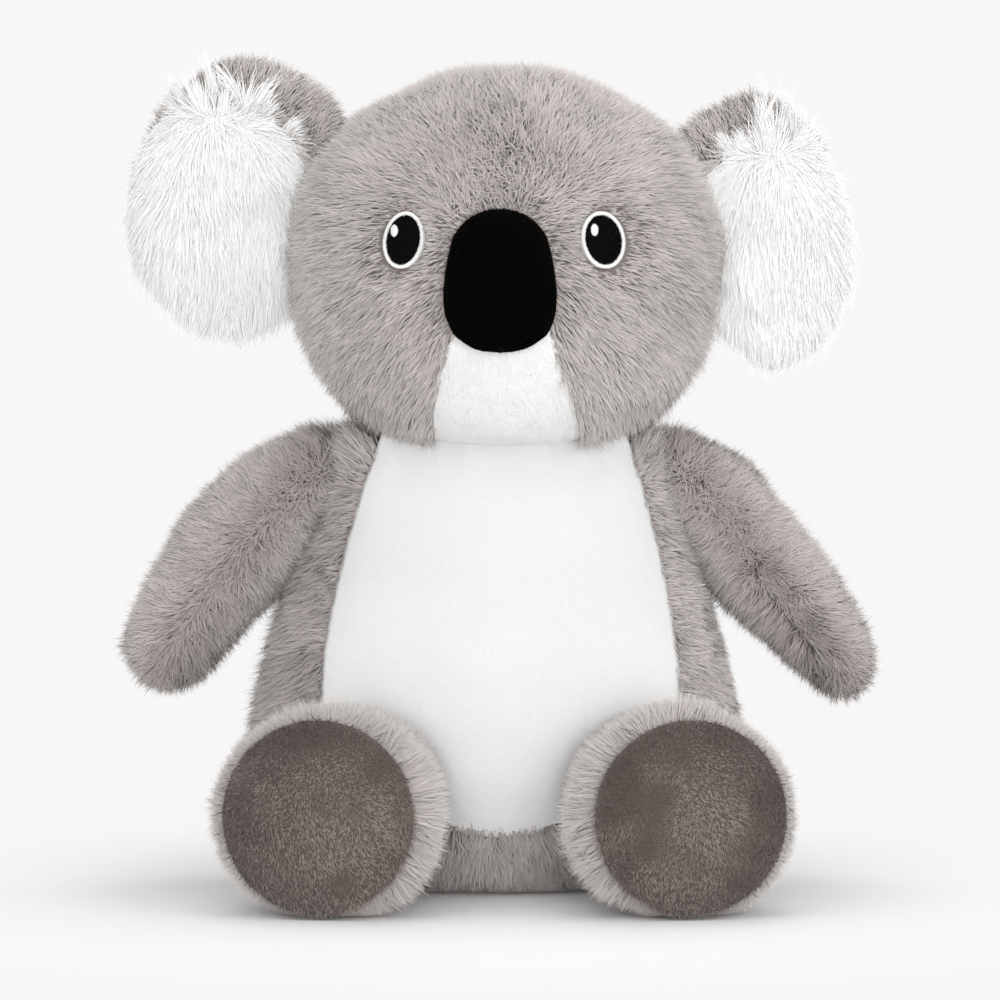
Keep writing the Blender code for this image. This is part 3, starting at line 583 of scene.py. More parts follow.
# Flat tapering strands as one mesh. points is strands x (2 x segments + 1) x 3, in pairs up to the tip.
def strandMesh(name, points, normals, tone, other):
    strands, stride = points.shape[:2]
    segments = (stride - 1) // 2
    template, sizes = [], []
    for k in range(segments - 1):
        template += [2 * k, 2 * k + 2, 2 * k + 3, 2 * k + 1]
        sizes.append(4)
    template += [stride - 3, stride - 1, stride - 2]
    sizes.append(3)
    template, sizes = np.array(template), np.array(sizes)
    loops = (template[None, :] + np.arange(strands)[:, None] * stride).ravel()
    starts = np.concatenate([[0], np.cumsum(np.tile(sizes, strands))[:-1]])
    mesh = bpy.data.meshes.new(name)
    mesh.vertices.add(strands * stride)
    mesh.vertices.foreach_set("co", points.astype(np.float32).ravel())
    mesh.loops.add(len(loops))
    mesh.loops.foreach_set("vertex_index", loops.astype(np.int32))
    mesh.polygons.add(len(starts))
    mesh.polygons.foreach_set("loop_start", starts.astype(np.int32))
    mesh.update(calc_edges=True)
    along = np.minimum(np.arange(stride) // 2, segments) / segments
    shade = np.ones((strands, stride, 4), np.float32)
    shade[:, :, 0] = along[None, :]
    shade[:, :, 1] = tone[:, None]
    shade[:, :, 2] = other[:, None]
    layer = mesh.attributes.new("strand", "FLOAT_COLOR", "POINT")
    layer.data.foreach_set("color", shade.ravel())
    # each strand has its own small cell on the map
    wide = math.ceil(math.sqrt(strands))
    cell = np.stack([np.arange(strands) % wide, np.arange(strands) // wide], axis=1)
    across = np.where(np.arange(stride) == stride - 1, 0.5, np.arange(stride) % 2)
    inCell = 0.12 + 0.76 * np.stack([across, along], axis=1)[template]
    spots = (cell[:, None, :] + inCell[None, :, :]) / wide
    mesh.uv_layers.new(name="OFBake")
    mesh.uv_layers["OFBake"].uv.foreach_set("vector", spots.astype(np.float32).ravel())
    mesh.shade_smooth()
    mesh.normals_split_custom_set_from_vertices(normals.reshape(-1, 3))
    return mesh


# Random points on a mesh with their normals, even over its area times keep(points)
def sampleSurface(mesh, count, rng, keep):
    mesh.calc_loop_triangles()
    places, ways = vectorsOf(mesh.vertices), vectorsOf(mesh.vertex_normals, "vector")
    triangles = np.empty(len(mesh.loop_triangles) * 3, np.int32)
    mesh.loop_triangles.foreach_get("vertices", triangles)
    triangles = triangles.reshape(-1, 3)
    a, b, c = (places[triangles[:, k]] for k in range(3))
    area = np.linalg.norm(np.cross(b - a, c - a), axis=1) * keep((a + b + c) / 3)
    chosen = np.searchsorted(np.cumsum(area) / area.sum(), rng.random(count))
    chosen = triangles[np.minimum(chosen, len(triangles) - 1)]
    r, s = np.sqrt(rng.random((count, 1))), rng.random((count, 1))
    shares = (1 - r, r * (1 - s), r * s)
    points = sum(share * places[chosen[:, k]] for k, share in enumerate(shares))
    normals = unit(sum(share * ways[chosen[:, k]] for k, share in enumerate(shares)))
    return points, normals


# Combed strands of a kind of fur. comb(points, normals) gives their way, and the shorter it is the more they
# tangle. keep(points) is the share that grows there, other(points) the share of the other colour,
# longer(points) a factor on the length and steeper(points) how many degrees more they rise.
def growFur(name, source, body, kind, look, comb, keep, other=None, longer=None, steeper=None):
    look = {**furBasics, **look}
    rng = np.random.default_rng(look["seed"])
    points, normals = sampleSurface(source, look["strands"], rng, keep)
    count, segments = len(points), look["segments"]
    fine = softNoise(points, look["tuft"], look["seed"])
    broad = softNoise(points, look["swirl"], look["seed"] + 7)
    ways = comb(points, normals) + look["swirlBy"] * broad + look["stray"] * rng.normal(size=(count, 3))
    ways = unit(ways - dot(ways, normals) * normals)
    length = look["length"] * (1 + look["uneven"] * rng.normal(size=count)) * (1 + 0.1 * broad[:, 0])
    length = np.clip(length, 0.4 * look["length"], 1.6 * look["length"])
    if longer:
        length = length * longer(points)
    length = length[:, None]
    rise = np.radians(look["rise"]) + look["ragged"] * (rng.normal(size=(count, 1)) + fine[:, :1])
    lie = np.radians(look["lie"]) + look["ragged"] * rng.normal(size=(count, 1))
    if steeper:
        more = np.radians(steeper(points))[:, None]
        rise, lie = rise + more, lie + 0.4 * more
    spots = [points - 0.5 * mm * normals]
    sides = []
    for k in range(segments):
        share = k / max(1, segments - 1)
        angle = rise + (lie - rise) * share
        shear = unit(ways + look["clump"] * share * fine)
        shear = unit(shear - dot(shear, normals) * normals)
        way = unit(np.cos(angle) * shear + np.sin(angle) * normals + look["droop"] * share * down)
        spots.append(spots[-1] + way * length / segments)
        sides.append(unit(np.cross(normals, way)))
    roll = look["roll"] * rng.normal(size=(count, 1))
    thin = 0.5 * look["width"] * (1 + 0.2 * rng.normal(size=(count, 1)))
    rows, bent = [], []
    for k in range(segments + 1):
        across = sides[min(k, segments - 1)] * np.cos(roll) + normals * np.sin(roll)
        along = unit(spots[min(k + 1, segments)] - spots[min(k, segments - 1)])
        face = unit(np.cross(along, across))
        if k < segments:
            narrow = 1 - 0.7 * (k / segments) ** 1.5
            rows += [spots[k] - across * thin * narrow, spots[k] + across * thin * narrow]
            bent += [face, face]
        else:
            rows.append(spots[k])
            bent.append(face)
    made = np.stack(rows, axis=1)
    made[:, :, 2] = np.maximum(made[:, :, 2], look["lowest"])
    leaning = unit(normals + np.array(look["shadeLean"]))
    shading = unit(look["softness"] * leaning[:, None, :] + (1 - look["softness"]) * np.stack(bent, axis=1))
    tone = np.clip(0.5 + 0.22 * rng.normal(size=count) + 0.22 * fine[:, 1] + 0.14 * broad[:, 1], 0, 1)
    taken = other(points) if other else np.zeros(count)
    addPiece(name, strandMesh(name, made, shading, tone, taken), body, furLooks[kind]["slot"], furs[kind])


# The same look with other random strands
def reseeded(look, by):
    return {**look, "seed": look["seed"] + by}


halves = {  # fewer and wider strands at the back
    "Front": {"strands": 62000},
    "Back": {"strands": 29000, "width": 1.0 * mm},
}


# Grey fur on a form's front and back half
def growHalves(body, look, comb, keep, other, longer):
    for part, half in halves.items():
        growFur(
            f"{body}Fur{part}", stuffed[body].data, body, "greyFur", reseeded({**look, **half}, len(part)),
            comb, lambda points: keep(points) * np.where((points[:, 1] < 0) == (part == "Front"), 1.0, 0.0),
            other, longer,
        )


# Where the pile ends: belly panel, muzzle, eyes and nose

panel = {
    "top": 226 * mm,
    "shownTop": 219 * mm,
    "middle": 96 * mm,
    "bottom": 33 * mm,
    "half": 83 * mm,
    "topShare": 0.64,
    "curve": 1.55,
    "lean": 2.0 * mm,  # its top is this far to the toy's left
}
muzzle = {  # heights, and the patch's sides there
    "heights": [at * mm for at in (202, 207, 214, 227, 241, 248, 261, 270)],
    "right": [at * mm for at in (-12, -25, -29.5, -31, -27.8, -26.2, -21.4, -16)],
    "left": [at * mm for at in (28, 37, 39.5, 36, 30.5, 27, 22.9, 18)],
}
eye = {
    "halfWidth": {"right": 9.6 * mm, "left": 10.3 * mm},
    "halfHeight": 13.4 * mm,
    "lean": math.radians(9),
    "ring": 1.8 * mm,
    "up": 0.6 * mm,
}
noseLow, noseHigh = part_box("nose_skin")
noseMiddle = np.array((noseLow + noseHigh) / 2)


# 0 at the belly panel's widest height, 1 at its top
def panelRise(z):
    return np.clip((z - panel["middle"]) / (panel["top"] - panel["middle"]), 0, 1)


# The panel's half width at a height, and its middle line
def panelHalf(z):
    fall = np.clip((panel["middle"] - z) / (panel["middle"] - panel["bottom"]), 0, 1)
    above = 1 - (1 - panel["topShare"]) * panelRise(z) ** panel["curve"]
    return panel["half"] * above * np.sqrt(1 - fall**2)


def panelMiddle(z):
    return panel["lean"] * panelRise(z)


# How far inside the panel's edge, in front of the body's middle
def inPanel(points):
    x, y, z = points.T
    inside = panelHalf(z) - np.abs(x - panelMiddle(z))
    return np.where((y < 0) & (z > panel["bottom"]) & (z < panel["shownTop"]), inside, -1.0)


# How far inside the muzzle patch's sides
def inMuzzle(points):
    x, y, z = points.T
    right = np.interp(z, muzzle["heights"], muzzle["right"])
    left = np.interp(z, muzzle["heights"], muzzle["left"])
    low, high = muzzle["heights"][0], muzzle["heights"][-1]
    return np.where((y < -30 * mm) & (z > low) & (z < high), np.minimum(x - right, left - x), -1.0)


def eyeMiddle(side):
    low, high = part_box(f"{side}_eye_ring")
    return (low + high) / 2 + Vector((0, 0, eye["up"]))


# Below 1 inside the eye's oval
def inEye(points, side, grow):
    middle = eyeMiddle(side)
    x, z = points[:, 0] - middle.x, points[:, 2] - middle.z
    lean = sideSign[side] * eye["lean"]
    across = x * math.cos(lean) + z * math.sin(lean)
    up = -x * math.sin(lean) + z * math.cos(lean)
    inside = (across / (eye["halfWidth"][side] + grow)) ** 2 + (up / (eye["halfHeight"] + grow)) ** 2
    return np.where(points[:, 1] < 0, inside, 9.0)


def inNose(points, grow):
    x, y, z = points.T
    half = (noseHigh.x - noseLow.x) / 2 + grow
    tall = (noseHigh.z - noseLow.z) / 2 + grow
    return np.where(y < 0, ((x - noseMiddle[0]) / half) ** 2 + ((z - noseMiddle[2]) / tall) ** 2, 9.0)


# Head fur

headFur = {"length": 11.0 * mm, "seed": 11}
brow = {"height": 352 * mm, "wide": 62 * mm, "tall": 40 * mm}  # tangled
forehead = {"height": 342 * mm, "wide": 44 * mm, "tall": 30 * mm}  # darker
bare = {"eye": 0.9 * mm, "nose": -3 * mm, "neck": 42 * mm, "neckTop": 225 * mm}


# Distance from a spot on the face, 1 on its oval's edge
def fromSpot(points, spot):
    return np.hypot(points[:, 0] / spot["wide"], (points[:, 2] - spot["height"]) / spot["tall"])


# Outwards from the nose and down, tangled on the forehead
def combHead(points, normals):
    x, y, z = points.T
    away = unit(points - np.array([0, -0.115, 0.30]))
    back = smoothStep(y, -0.02, 0.07)
    low = smoothStep(-z, -0.27, -0.22)
    tangle = (1 - smoothStep(fromSpot(points, brow), 0.4, 1.15)) * (y < 0)
    ways = away * (1 - 0.35 * low)[:, None] + down * (0.55 + 0.9 * back + 0.5 * low)[:, None]
    return ways * (1 - 0.55 * tangle)[:, None]


def keepHead(points):
    shown = np.ones(len(points))
    for side in sideSign:
        shown *= np.where(inEye(points, side, bare["eye"]) < 1, 0.0, 1.0)
    shown *= np.where(inNose(points, bare["nose"]) < 1, 0.0, 1.0)
    shown *= np.where(inMuzzle(points) > 0, 0.0, 1.0)
    under = (np.hypot(points[:, 0], points[:, 1]) < bare["neck"]) & (points[:, 2] < bare["neckTop"])
    return shown * np.where(under, 0.05, 1.0)


# A little darker above the nose
def darkerForehead(points):
    return np.where(points[:, 1] < 0, 0.3 * (1 - smoothStep(fromSpot(points, forehead), 0.3, 1.1)), 0.0)


# Shorter round the eyes and the nose, longer under the cheeks and at the sides
def headLength(points):
    x, y, z = points.T
    factor = 1 + 0.15 * smoothStep(-z, -0.24, -0.215) + 0.25 * smoothStep(np.abs(x), 0.07, 0.1)
    for side in sideSign:
        factor *= 0.28 + 0.72 * smoothStep(inEye(points, side, 0.0), 1.0, 3.2)
    return factor * (0.5 + 0.5 * smoothStep(inNose(points, 0.0), 1.0, 2.0))


growHalves("head", headFur, combHead, keepHead, darkerForehead, headLength)
report("head fur")


# Muzzle patch and its short white pile

muzzlePile = {
    "strands": 28000, "length": 4.6 * mm, "width": 0.6 * mm, "rise": 26, "lie": 8, "seed": 21,
    "tuft": 2.5 * mm, "clump": 0.25, "stray": 0.25, "ragged": 0.06, "softness": 0.97, "roll": 0.2,
}
muzzleLift = 2.6 * mm


# A cloth patch over part of a padded form
def patchOf(name, source, keep, lift, thickness, body, slot, material):
    bm = bmesh.new()
    bm.from_mesh(source)
    bm.normal_update()
    middles = np.array([face.calc_center_median() for face in bm.faces])
    shown = keep(middles)
    bmesh.ops.delete(bm, geom=[face for face, show in zip(bm.faces, shown) if not show], context="FACES")
    for v in bm.verts:
        v.co += v.normal * lift
    bmesh.ops.solidify(bm, geom=bm.faces, thickness=thickness)
    return addPiece(name, meshFrom(bm, name), body, slot, material)


# A copy of a mesh moved out along its normals, to grow strands on
def lifted(mesh, lift):
    made = mesh.copy()
    ways = vectorsOf(made.vertex_normals, "vector")
    reshape(made, lambda places: lift * ways)
    return made


def combMuzzle(points, normals):
    return down + 0.4 * unit(points - noseMiddle)


def keepMuzzle(points):
    return np.where((inMuzzle(points) > 0) & (inNose(points, -4 * mm) > 1), 1.0, 0.0)


muzzleCloth = patchOf(
    "muzzleCloth", stuffed["head"].data, lambda points: inMuzzle(points) > -1 * mm, muzzleLift, 1.2 * mm,
    "head", "white_pile", whiteBacking,
)
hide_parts("muzzle_patch")
raised = lifted(stuffed["head"].data, muzzleLift)
growFur("muzzlePile", raised, "head", "whiteFur", muzzlePile, combMuzzle, keepMuzzle)
bpy.data.meshes.remove(raised)
report("muzzle")


# Body fur

bodyFur = {
    "length": 11.5 * mm, "lie": 38, "ragged": 0.2, "clump": 0.8, "tuft": 4.5 * mm, "swirlBy": 0.45,
    "seed": 31,
}
bodySides = {"right": 1.35, "left": 0.78}  # its sides' fur, as shares of that length
thin = {"neck": 42 * mm, "neckBack": 5 * mm, "neckLow": 205 * mm, "hip": 54 * mm}  # covered by other pieces
zipSlot = {"ends": 6 * mm, "half": 7 * mm, "height": 20 * mm}
zipLow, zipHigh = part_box("zip_teeth")


# Sideways and down in front, down the back
def combBody(points, normals):
    x, y, z = points.T
    aside = np.sign(x) * np.clip(np.abs(x) / 60e-3, 0, 1) * 1.1
    fall = -0.25 - 0.75 * smoothStep(-z, -0.20, -0.04)
    fall = np.where(y < 0, fall, -1.0) + 1.6 * smoothStep(z, 0.185, 0.21)
    return np.stack([aside, 1.2 * np.maximum(y, 0) / 0.08, fall], axis=1)


# Leaves out the panel, the zip's slot and most of what the head and the legs cover
def keepBody(points):
    x, y, z = points.T
    shown = np.where(inPanel(points) > 0, 0.0, 1.0)
    slot = (np.abs(x) < zipHigh.x + zipSlot["ends"]) & (z < zipSlot["height"])
    slot &= np.abs(y - (zipLow.y + zipHigh.y) / 2) < zipSlot["half"]
    shown = np.where(slot, 0.0, shown)
    neck = (np.hypot(x, y + thin["neckBack"]) < thin["neck"]) & (z > thin["neckLow"])
    shown = np.where(neck, 0.04 * shown, shown)
    for side in sideSign:
        hip = np.array(joints[f"{side}_leg_lift"]["pos_m"])
        shown = np.where(np.linalg.norm(points - hip, axis=1) < thin["hip"], 0.08 * shown, shown)
    return shown


# Short at the panel's edge, longer beside the neck
def bodyLength(points):
    x, y, z = points.T
    edge = smoothStep(-inPanel(points), 0.0, 9 * mm)
    aside = np.where(x < 0, bodySides["right"], bodySides["left"])
    aside = 1 + (aside - 1) * smoothStep(np.abs(x), 75 * mm, 95 * mm)
    ends = 0.5 * smoothStep(z, 0.19, 0.21) + 0.4 * smoothStep(-z, -0.03, -0.01)
    return (0.6 + 0.4 * edge) * aside * (1 + ends)


# Darker on the toy's right side
def shadeBody(points):
    return 0.5 * smoothStep(-points[:, 0], 0.05, 0.08)


growHalves("body", bodyFur, combBody, keepBody, shadeBody, bodyLength)
report("body fur")


# Arms

armFur = {
    "strands": 44000, "length": 12.0 * mm, "lie": 44, "seed": 41, "ragged": 0.2, "clump": 0.8, "tuft": 4 * mm,
}
armShape = {  # how far the padding bulges outwards, on its outer and inner side, and where along the arm
    "right": {"outer": (11 * mm, -0.05, 0.8), "inner": (8 * mm, 0.5, 0.9), "shoulder": 5 * mm},
    "left": {"outer": (2 * mm, 0.1, 0.5), "inner": (7 * mm, 0.6, 0.9), "shoulder": 9 * mm},
}
crease = {"start": Vector((0.123, 0.150)), "end": Vector((0.151, 0.116)), "deep": 3.5 * mm, "wide": 4 * mm}


# The direction in which points spread most or least, taken on the side of aim
def spreadAxis(points, which, aim):
    spread = points - points.mean(0)
    return facing(np.linalg.eigh(spread.T @ spread)[1][:, which], aim)


def facing(way, aim):
    return way if way @ aim > 0 else -way


# How near to the left arm's crease, from 0 to 1, and the way out of it
def inCrease(points, wide):
    start, end = (np.array(crease[key]) for key in ("start", "end"))
    flat = points[:, [0, 2]]
    share = np.clip((flat - start) @ (end - start) / np.sum((end - start) ** 2), 0, 1)
    offset = flat - start - share[:, None] * (end - start)
    near = np.exp(-np.sum(offset**2, axis=1) / wide**2) * (points[:, 1] < -10 * mm)
    return near, unit(np.stack([offset[:, 0], np.zeros(len(points)), offset[:, 1]], axis=1))


for side, sign in sideSign.items():
    found = corners(f"{side}_arm_stuffing")
    aside = np.array([sign, 0, 0])
    along = spreadAxis(found, -1, down)
    outer = facing(unit(np.cross(along, np.array([0, sign, 0]))), aside)
    shape = armShape[side]

    # Places as shares of the arm's half length and half thickness
    def onArm(points):
        offset = points - found.mean(0)
        spans = [np.ptp(found @ way) / 2 for way in (along, outer)]
        return offset @ along / spans[0], np.clip(offset @ outer / spans[1] * 1.6, -1, 1)

    def bulge(points):
        share, across = onArm(points)
        moved = 0
        for key, weight in (("outer", (1 + across) / 2), ("inner", (1 - across) / 2)):
            far, at, wide = shape[key]
            moved = moved + far * weight * bump(share, at, wide)
        moved = moved - shape["shoulder"] * smoothStep(-share, 0.5, 0.9)
        sunk = crease["deep"] * inCrease(points, crease["wide"])[0] * (sign > 0)
        return moved[:, None] * outer - sunk[:, None] * ahead

    # Away from the arm's middle line, up at the shoulder and along the arm at the paw
    def combArm(points, normals):
        share, across = onArm(points)
        near, way = inCrease(points, 2 * crease["wide"])
        top = smoothStep(-share, 0.35, 0.9)
        ways = (across + 0.7 * top)[:, None] * outer + 0.1 * down
        ways = ways + along * ((0.25 + 0.45 * np.clip(share, -0.4, 1)) * (1 - top))[:, None]
        return ways + way * (0.7 * near * (sign > 0))[:, None]

    # Darker along the middle, and darker in the crease as painted shade
    def shadeArm(points):
        share, across = onArm(points)
        middle = 0.8 * (1 - smoothStep(np.abs(across), 0.1, 0.8)) * (points[:, 1] < 0)
        return np.clip(0.35 + middle + 0.5 * inCrease(points, crease["wide"])[0] * (sign > 0), 0, 1)

    armMesh = stuffed[f"{side}Arm"].data
    reshape(armMesh, bulge)
    growFur(
        f"{side}ArmFur", armMesh, f"{side}_arm", "greyFur", reseeded(armFur, sign),
        combArm, lambda points: np.ones(len(points)), shadeArm,
    )
report("arm fur")


# Legs and soles

legFur = {
    "strands": 43000, "length": 11.5 * mm, "width": 0.55 * mm, "seed": 51, "softness": 0.92, "uneven": 0.1,
    "ragged": 0.07, "stray": 0.3, "clump": 0.4, "swirlBy": 0.15, "shadeLean": (0.0, -0.6, 0.3),
}
sole = {"radius": 43.5 * mm, "rings": 7, "sides": 96, "dome": 3.2 * mm, "thick": 2.5 * mm}
solePile = {
    "strands": 21000, "length": 2.6 * mm, "width": 0.37 * mm, "rise": 60, "lie": 34, "seed": 61,
    "tuft": 1.5 * mm, "swirl": 13 * mm, "swirlBy": 0.7, "stray": 0.35, "uneven": 0.25, "softness": 0.8,
}


# A disc, domed ring by ring, with its top at a place and facing a way
def makeSole(name, top, forward, body):
    bm = bmesh.new()
    bmesh.ops.create_circle(bm, cap_ends=True, segments=sole["sides"], radius=sole["radius"] - 0.6 * mm)
    face = list(bm.faces)
    for _ in range(sole["rings"]):
        bmesh.ops.inset_region(bm, faces=face, thickness=sole["radius"] / (sole["rings"] + 0.6))
    bmesh.ops.poke(bm, faces=[f for f in bm.faces if len(f.verts) > 4])
    for v in bm.verts:
        share = min(1.0, v.co.to_2d().length / sole["radius"])
        v.co.z = sole["dome"] * (1 - share**2)
    bmesh.ops.solidify(bm, geom=bm.faces, thickness=-sole["thick"])
    turn = Vector(forward).to_track_quat("Z", "Y").to_matrix().to_4x4()
    bmesh.ops.transform(bm, matrix=Matrix.Translation(top) @ turn, verts=bm.verts)
    bmesh.ops.recalc_face_normals(bm, faces=bm.faces)
    return addPiece(name, meshFrom(bm, name), body, "brown_velour", brownBacking)


for side, sign in sideSign.items():
    hip = np.array(joints[f"{side}_leg_lift"]["pos_m"])
    disc = corners(f"{side}_sole")
    forward = spreadAxis(disc, 0, ahead)
    front = (disc @ forward).max()
    middle = disc.mean(0) - forward * (disc.mean(0) @ forward)  # of the leg's axis, level with the origin
    top = middle + forward * (front - sole["dome"])
    piece = makeSole(f"{side}Sole", Vector(top), forward, f"{side}_leg")
    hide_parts(f"{side}_sole")

    def combSole(points, normals):
        return down * 0.8 + np.array([0.25, 0, 0]) - 4 * (points - top)

    def keepSole(points):
        return np.where((points - top) @ forward > -0.2 * mm, 1.0, 0.0)

    # Darker at the top, with soft blotches
    def shadeSole(points):
        up = (points[:, 2] - top[2]) / sole["radius"]
        blot = softNoise(points, 17 * mm, 5 + sign)[:, 0] + 0.5 * softNoise(points, 8 * mm, 9 + sign)[:, 1]
        return np.clip(0.35 + 0.6 * up + 1.3 * blot, 0, 1)

    growFur(
        f"{side}SolePile", piece.data, f"{side}_leg", "brownPile", reseeded(solePile, sign),
        combSole, keepSole, shadeSole,
    )

    # How far along the leg, and the way there from its axis
    def onLeg(points):
        depth = points @ forward
        return depth, points - middle - forward * depth[:, None]

    # 0 at the first distance behind the sole, 1 at the second
    def nearSole(depth, first, second):
        return smoothStep(depth, front - first, front - second)

    # Out from the leg's axis and back from the sole
    def combLeg(points, normals):
        depth, away = onLeg(points)
        near = nearSole(depth, 30 * mm, 6 * mm)[:, None]
        return unit(away) * (0.5 + 0.9 * near) - 0.4 * forward + 0.25 * down

    # Longest next to the sole, above it and between the legs
    def legLength(points):
        offset = (points - top) / sole["radius"]
        inner = smoothStep(0.6 * offset[:, 2] - sign * offset[:, 0], -0.2, 0.6)
        return 1 + (0.2 + 0.4 * inner) * nearSole(points @ forward, 30 * mm, 6 * mm)

    # Flatter under the sole's rim
    def legRise(points):
        depth, away = onLeg(points)
        under = 1 - smoothStep(np.linalg.norm(away, axis=1), sole["radius"] - 5 * mm, sole["radius"] + 1 * mm)
        return -34 * under * nearSole(depth, 14 * mm, 8 * mm)

    def keepLeg(points):
        depth, away = onLeg(points)
        covered = (np.linalg.norm(away, axis=1) < sole["radius"] - 5.5 * mm) & (depth > front - 9 * mm)
        behind = (points - hip) @ forward < -18 * mm
        return np.where(covered, 0.0, np.where(behind, 0.12, 1 + 1.2 * nearSole(depth, 24 * mm, 8 * mm)))

    # The legs take the lighter copy of the grey plush, which is painted light
    growFur(
        f"{side}LegFur", stuffed[f"{side}Leg"].data, f"{side}_leg", "paintedLitFur", reseeded(legFur, sign),
        combLeg, keepLeg, None, legLength, legRise,
    )
report("legs")


# Ears: white in front but for a grey band at the top

# Per side: middle of the white area from the seam's middle, its radius, how far the cloth is let in towards
# the head at the inner top, along the bottom and at the inner bottom, and the tufts over the grey. Each tuft
# has its place round the white area and its lean, in degrees from straight up, and its length in mm.
ear = {
    "right": {
        "out": 36 * mm, "up": -2 * mm, "radius": 45.5 * mm,
        "innerTop": 18 * mm, "bottom": 4 * mm, "innerBottom": 11 * mm,
        "tufts": ((12, 30, 20), (-4, 44, 21), (-10, -4, 19), (-12, -22, 19), (35, 43, 15), (43, 35, 13)),
    },
    "left": {
        "out": 24.5 * mm, "up": 4 * mm, "radius": 41 * mm,
        "innerTop": 25 * mm, "bottom": 4 * mm, "innerBottom": 12 * mm,
        "tufts": ((-8, 43, 28), (-4, 16, 27), (13, 29, 20), (25, -12, 21), (31, -9, 18)),
    },
}
tuftRoot = {"at": 0.95, "wide": 0.09}  # shares of the white area's radius
earBackFur = {"strands": 20000, "length": 10.5 * mm, "seed": 71}
earFrontFur = {
    "strands": 33000, "length": 22.0 * mm, "width": 0.56 * mm, "rise": 14, "lie": 3, "seed": 81,
    "segments": 3, "tuft": 6 * mm, "swirl": 24 * mm, "swirlBy": 0.22, "stray": 0.12, "droop": 0.15,
    "uneven": 0.22, "ragged": 0.07, "softness": 0.97, "roll": 0.2,
}

for side, sign in sideSign.items():
    pivot, seam = (np.array(joints[f"{side}_ear_fold"][key]) for key in ("pos_m", "axis"))
    seam = facing(seam, -down)
    found = corners(f"{side}_ear_back", f"{side}_ear_front")
    flat = spreadAxis(found, 0, ahead)  # out of the ear's front
    out = facing(unit(np.cross(flat, seam)), np.array([sign, 0, 0]))
    spot = ear[side]
    earMesh = stuffed[f"{side}Ear"].data

    # How far out and up from the middle of the white area
    def onEar(points):
        offset = points - pivot
        return offset @ out - spot["out"], offset @ seam - spot["up"]

    def letIn(points):
        across, up = (offset / spot["radius"] for offset in onEar(points))
        inner = smoothStep(-across, -0.1, 0.7)
        moved = spot["innerTop"] * inner * smoothStep(up, 0.1, 0.8)
        moved = moved + (spot["bottom"] + spot["innerBottom"] * inner) * smoothStep(-up, 0.0, 0.9)
        return -moved[:, None] * out

    reshape(earMesh, letIn)

    def greyBand(points):
        across, up = onEar(points)
        angle = np.degrees(np.arctan2(up, across))
        top = smoothStep(angle, 30, 62) * (1 - smoothStep(angle, 150, 176))
        return top * smoothStep(np.hypot(across, up), spot["radius"] - 4 * mm, spot["radius"] + 4 * mm)

    # Above 0 where the ear is white
    def inFront(points):
        return (points - pivot) @ flat - 1.5 * mm - 60 * mm * greyBand(points)

    lining = patchOf(
        f"{side}EarLining", earMesh, lambda points: inFront(points) > 0, 0.6 * mm, 1.0 * mm,
        f"{side}_ear", "white_pile", whiteBacking,
    )
    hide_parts(f"{side}_ear_front")

    # Away from the ear's middle where it shows in front, else to the back
    def combBack(points, normals):
        across, up = onEar(points)
        radial = unit(across[:, None] * out + up[:, None] * seam)
        band = greyBand(points)[:, None]
        return radial * (0.4 + 0.5 * band) - flat * 0.8 * (1 - band) - 0.2 * out

    # How far up and out, as shares of the white area's radius, and where wisps stand up at its top
    def frontPlace(points):
        across, up = (offset / spot["radius"] for offset in onEar(points))
        tufts = softNoise(points, 5 * mm, 7 + sign)[:, 2] + 0.25 * np.clip(across, 0, 1)
        return across, up, smoothStep(tufts, -0.1, 0.15) * smoothStep(up, 0.6, 0.8), tufts

    # Nearness to each tuft's root, its way and its length
    def inTufts(points):
        across, up, _, _ = frontPlace(points)
        for place, lean, length in spot["tufts"]:
            a, b = math.radians(place), math.radians(lean)
            far = np.hypot(across - tuftRoot["at"] * math.sin(a), up - tuftRoot["at"] * math.cos(a))
            near = 1 - smoothStep(far, 0.5 * tuftRoot["wide"], tuftRoot["wide"])
            yield near, out * math.sin(b) + seam * math.cos(b), length * mm

    # Hangs down, fans out at the outer side, with a few tufts upwards at the top
    def combFront(points, normals):
        across, up, wisp, _ = (share[:, None] for share in frontPlace(points))
        fan = across**2 + up**2
        radial = np.where(across > 0, across, 0.25 * across) * out + np.minimum(up, 0.15) * seam
        hanging = radial * (0.4 + 1.1 * fan) + down * (0.9 - 0.35 * fan)
        ways = hanging * (1 - wisp) + wisp * 2 * (across * out + up * seam)
        for near, way, _ in inTufts(points):
            ways = ways * (1 - near[:, None]) + 3 * near[:, None] * way
        return ways

    # Short at the top, the bottom and the outer rim, except for the tufts
    def frontLength(points):
        across, up, _, tufts = frontPlace(points)
        outer = smoothStep(across + 0.35 * up, 0.45, 1.0)
        top = smoothStep(up, 0.35, 0.9)
        length = (1 - 0.55 * outer) * (1 - 0.5 * top * (1 - 0.5 * smoothStep(tufts, 0.3, 0.5)))
        length = length * (1 - 0.25 * smoothStep(-up, 0.45, 0.95))
        for near, _, long in inTufts(points):
            length = length * (1 - near) + near * long / earFrontFur["length"]
        return length

    def frontRise(points):
        standing = frontPlace(points)[2]
        for near, _, _ in inTufts(points):
            standing = np.maximum(standing, near)
        return 40 * standing

    # Short where it meets the white
    def backLength(points):
        far = np.hypot(*onEar(points)) - spot["radius"]
        return 1 - 0.65 * greyBand(points) * (1 - smoothStep(far, 0.0, 14 * mm))

    growFur(
        f"{side}EarBackFur", earMesh, f"{side}_ear", "greyFur", reseeded(earBackFur, sign), combBack,
        lambda points: np.where(inFront(points) > -1 * mm, 0.0, 1.0), None, backLength,
    )
    growFur(
        f"{side}EarFrontFur", earMesh, f"{side}_ear", "whiteFur", reseeded(earFrontFur, sign), combFront,
        lambda points: np.where(inFront(points) > 0, 1.0, 0.0), None, frontLength, frontRise,
    )
report("ears")


